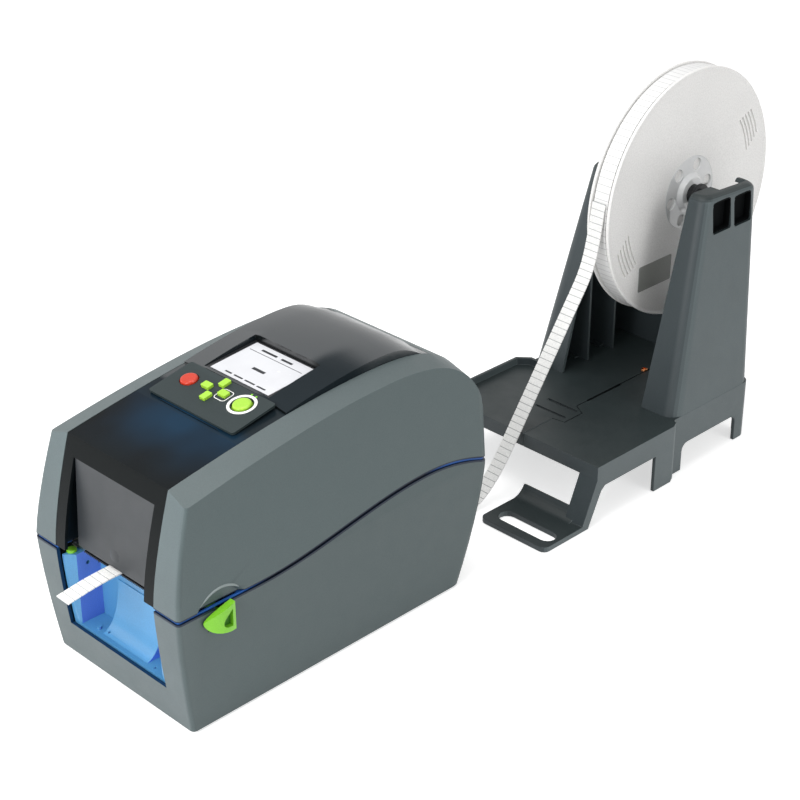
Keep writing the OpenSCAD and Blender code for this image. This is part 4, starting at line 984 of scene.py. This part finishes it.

# %% [markdown]
# ## Lip of the finger scoops
# A thin raised lip runs round the scoop above each latch and catches the light; its paler grey is a painted
# highlight. The case is curved there, so the lip is laid on it: rays from the side find the wall at points
# along an arc, a curve runs through them, and its round section is made a mesh. Thinner ends let it die out at
# the seam.

# %% Scoop lips
SCOOP_Y, SCOOP_Z, SCOOP_R = 32.5, 75.8, 19.8
ARC = [math.radians(a) for a in range(44, 141, 4)]
LIP_R, OUTSIDE = 1.0, 120
for side, name in ((1, "scoop_lip_right"), (-1, "scoop_lip_left")):
    wire = bpy.data.curves.new(name, "CURVE")
    wire.dimensions = "3D"
    wire.bevel_depth = LIP_R * MM
    wire.bevel_resolution = 2
    wire.use_fill_caps = True
    arc = wire.splines.new("POLY")
    arc.points.add(len(ARC) - 1)
    for point, a in zip(arc.points, ARC):
        at = place(side * OUTSIDE, SCOOP_Y + SCOOP_R * math.cos(a), SCOOP_Z + SCOOP_R * math.sin(a))
        hit, spot, _, _ = skins["lid_shell"].ray_cast(at, (-side, 0, 0))
        assert hit, "no wall under the lip"
        point.co = (spot.x, spot.y, spot.z, 1)
        point.radius = min(1.0, 0.25 + 3 * min(a - ARC[0], ARC[-1] - a))
    lip = bpy.data.objects.new(name, wire)
    bpy.context.scene.collection.objects.link(lip)
    only(lip)
    bpy.ops.object.convert(target="MESH")
    lip = bpy.context.active_object
    bpy.ops.object.shade_smooth()
    dress(lip, lip_highlight_grey, "lid_shell")
    print(name, "faces:", len(lip.data.polygons))

# %% [markdown]
# ## Webs behind the towers and rings in the hub
# The rear wall of each tower runs on a little towards the reel, low above the deck. The corners of a plane are
# moved to the web's outline, and it is drawn out to the wall's thickness. In the hub a ring just under its
# face closes the six round holes, so that they read as dimples of clear plastic.

# %% Tower webs
OUTLINE = ((38.6, DECK_Z), (12.0, DECK_Z), (12.0, 74.0), (38.6, 104.0))
REAR_Y, REAR_THICK, REAR_ROUND = 543.2, 2.6, 2.5
TOWER_TOP, TOWER_LEAN = 203.0, 9.0
for side, name in ((-1, "tower_left"), (1, "tower_right")):
    bpy.ops.object.select_all(action="DESELECT")
    bpy.ops.mesh.primitive_plane_add(size=1)
    web = bpy.context.active_object
    web.name = name + "_web"
    for corner, (x, z) in zip((0, 1, 3, 2), OUTLINE):
        back_by = TOWER_LEAN * (z - DECK_Z) / (TOWER_TOP - DECK_Z)
        web.data.vertices[corner].co = place(STAND_X + side * x, REAR_Y + back_by, z)
    bpy.ops.object.mode_set(mode="EDIT")
    bpy.ops.mesh.select_all(action="SELECT")
    bpy.ops.mesh.bevel(offset=REAR_ROUND * MM, segments=3, affect="VERTICES")
    bpy.ops.mesh.select_all(action="SELECT")
    draw_out(0, REAR_THICK, 0)
    end_edit()
    dress(web, stand_grey, name)
    print(web.name, [round(v / MM, 1) for v in web.dimensions])

# %% Hub rings
HUB_WIDE, HUB_CORNER, HUB_LINE, HUB_OUT = 54, 26.9, 10.6, 6.6
for side in (-1, 1):
    ring = thin_plate("hub_ring", place(REEL_X + side * HUB_OUT, REEL_Y, REEL_Z), HUB_WIDE, HUB_WIDE, 0.6,
                      HUB_CORNER, (0, side * QUARTER, 0), HUB_LINE)
    dress(ring, reel_white, "reel_hub")
    print(ring.name, "faces:", len(ring.data.polygons))

# %% [markdown]
# ## Fuller reel
# The strip fills the reel almost to the edge of its flanges. The last turns are one broad ring: a cylinder
# whose two ends are inset and joined by a tunnel. Behind the slots of each flange lies a thin white disc, so
# that the slots look shallow.

# %% Outer turns
TURNS_WIDE, TURNS_LAP = 12.4, 0.2
ROUND_SIDE = math.radians(40)
bpy.ops.object.select_all(action="DESELECT")
bpy.ops.mesh.primitive_cylinder_add(vertices=180, radius=OUTER_TURN * MM, depth=TURNS_WIDE * MM)
turns = bpy.context.active_object
turns.name = "outer_turns"
pick(turns, lambda face: abs(face.normal.z) > 0.9)
bpy.ops.mesh.inset(thickness=(OUTER_TURN - WOUND - TURNS_LAP) * MM)
bpy.ops.mesh.delete(type="FACE")
bpy.ops.mesh.select_mode(type="EDGE")
bpy.ops.mesh.select_non_manifold()
bpy.ops.mesh.bridge_edge_loops()
end_edit()
set_down(turns, REEL, (0, QUARTER, 0))
bpy.ops.object.shade_smooth_by_angle(angle=ROUND_SIDE)
dress(turns, wound_tags, "strip_winding")
print("outer turns:", len(turns.data.polygons), "faces")

# %% Discs behind the slots
DISC_WIDE, DISC_CORNER, DISC_LINE, DISC_OUT = 176, 87.9, 48, 6.85
for side in (-1, 1):
    disc = thin_plate("flange_disc", place(REEL_X + side * DISC_OUT, REEL_Y, REEL_Z), DISC_WIDE, DISC_WIDE, 0.3,
                      DISC_CORNER, (0, side * QUARTER, 0), DISC_LINE)
    dress(disc, reel_white, "reel_flanges")
    print(disc.name, "faces:", len(disc.data.polygons))

# %% [markdown]
# ## Pocket cups
# Each tower has two pockets near its top, with inserts that close them towards the hollow inside; the inserts
# are nearly black, painted shade of the deep pockets.
# An insert is a shallow cup: a rounded plate whose top is inset and drawn down again.

# %% Pocket cups
TOWER_POCKETS = ((500.0, 521.4, 174.0, 197.5), (525.4, 546.0, 173.0, 196.0))
POCKET_BACK = 48.7
CUP_PLAY, CUP_DEEP, CUP_ROUND, CUP_WALL, CUP_HOLLOW = 0.4, 5.4, 2.4, 0.8, 4.6
# Nearly black: painted shade of the deep pockets
pocket_shade_black = moulded("pocket_shade_black", tint(9, 11, 12), 0.7, 900, 0.1, mirror=0.05)
for side, tower in ((-1, "tower_left"), (1, "tower_right")):
    for y0, y1, z0, z1 in TOWER_POCKETS:
        cup = thin_plate("pocket_cup", (0, 0, 0), z1 - z0 - CUP_PLAY, y1 - y0 - CUP_PLAY, CUP_DEEP, CUP_ROUND)
        pick(cup, lambda face: face.normal.z > 0.9)
        bpy.ops.mesh.inset(thickness=CUP_WALL * MM)
        draw_out(0, 0, -CUP_HOLLOW)
        end_edit()
        middle = place(STAND_X + side * POCKET_BACK, (y0 + y1) / 2, (z0 + z1) / 2)
        set_down(cup, middle, (0, side * QUARTER, 0))
        dress(cup, pocket_shade_black, tower)
        print(cup.name, "in", tower)

# %% [markdown]
# ## Screw and knob
# A copper pan-head screw holds the stand's halves together, and a small green knob sits at the top left of
# the tray. Both are turned parts: a cylinder with a bevel along its upper edge. The screw's top is inset
# and drawn down once more, which makes the socket for the key.

# %% Turned caps
TRAY_TOP = 79


def turned_cap(name, at, radius, tall, round_edge, socket=0.0):
    """A round cap with a rounded upper edge, and with socket a hole of that radius in its top."""
    bpy.ops.object.select_all(action="DESELECT")
    bpy.ops.mesh.primitive_cylinder_add(vertices=40, radius=radius * MM, depth=tall * MM)
    obj = bpy.context.active_object
    obj.name = name
    pick(obj, lambda face: face.normal.z > 0.9)
    bpy.ops.mesh.bevel(offset=round_edge * MM, segments=3, affect="EDGES")
    end_edit()
    if socket:
        pick(obj, lambda face: face.normal.z > 0.99)
        bpy.ops.mesh.inset(thickness=(radius - round_edge - socket) * MM)
        draw_out(0, 0, -0.5 * tall)
        end_edit()
    set_down(obj, at)
    bpy.ops.object.shade_smooth_by_angle(angle=ROUND_SIDE)
    return obj


copper = metal("copper", tint(214, 140, 92), 0.3, "Z")
screw = turned_cap("stand_screw", place(9.3, 500.6, DECK_Z + 0.7), 2.6, 1.6, 0.7, 1.1)
dress(screw, copper, "base_screws")
knob = turned_cap("green_knob", place(-45.4, 9.6, TRAY_TOP + 1.0), 3.2, 2.0, 0.7)
# The knob shares the latches' finish, but it rides with the tray
dress(knob, lime, "latch_left")
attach(knob, carrier["front_tray"])
print("caps:", screw.name, knob.name)
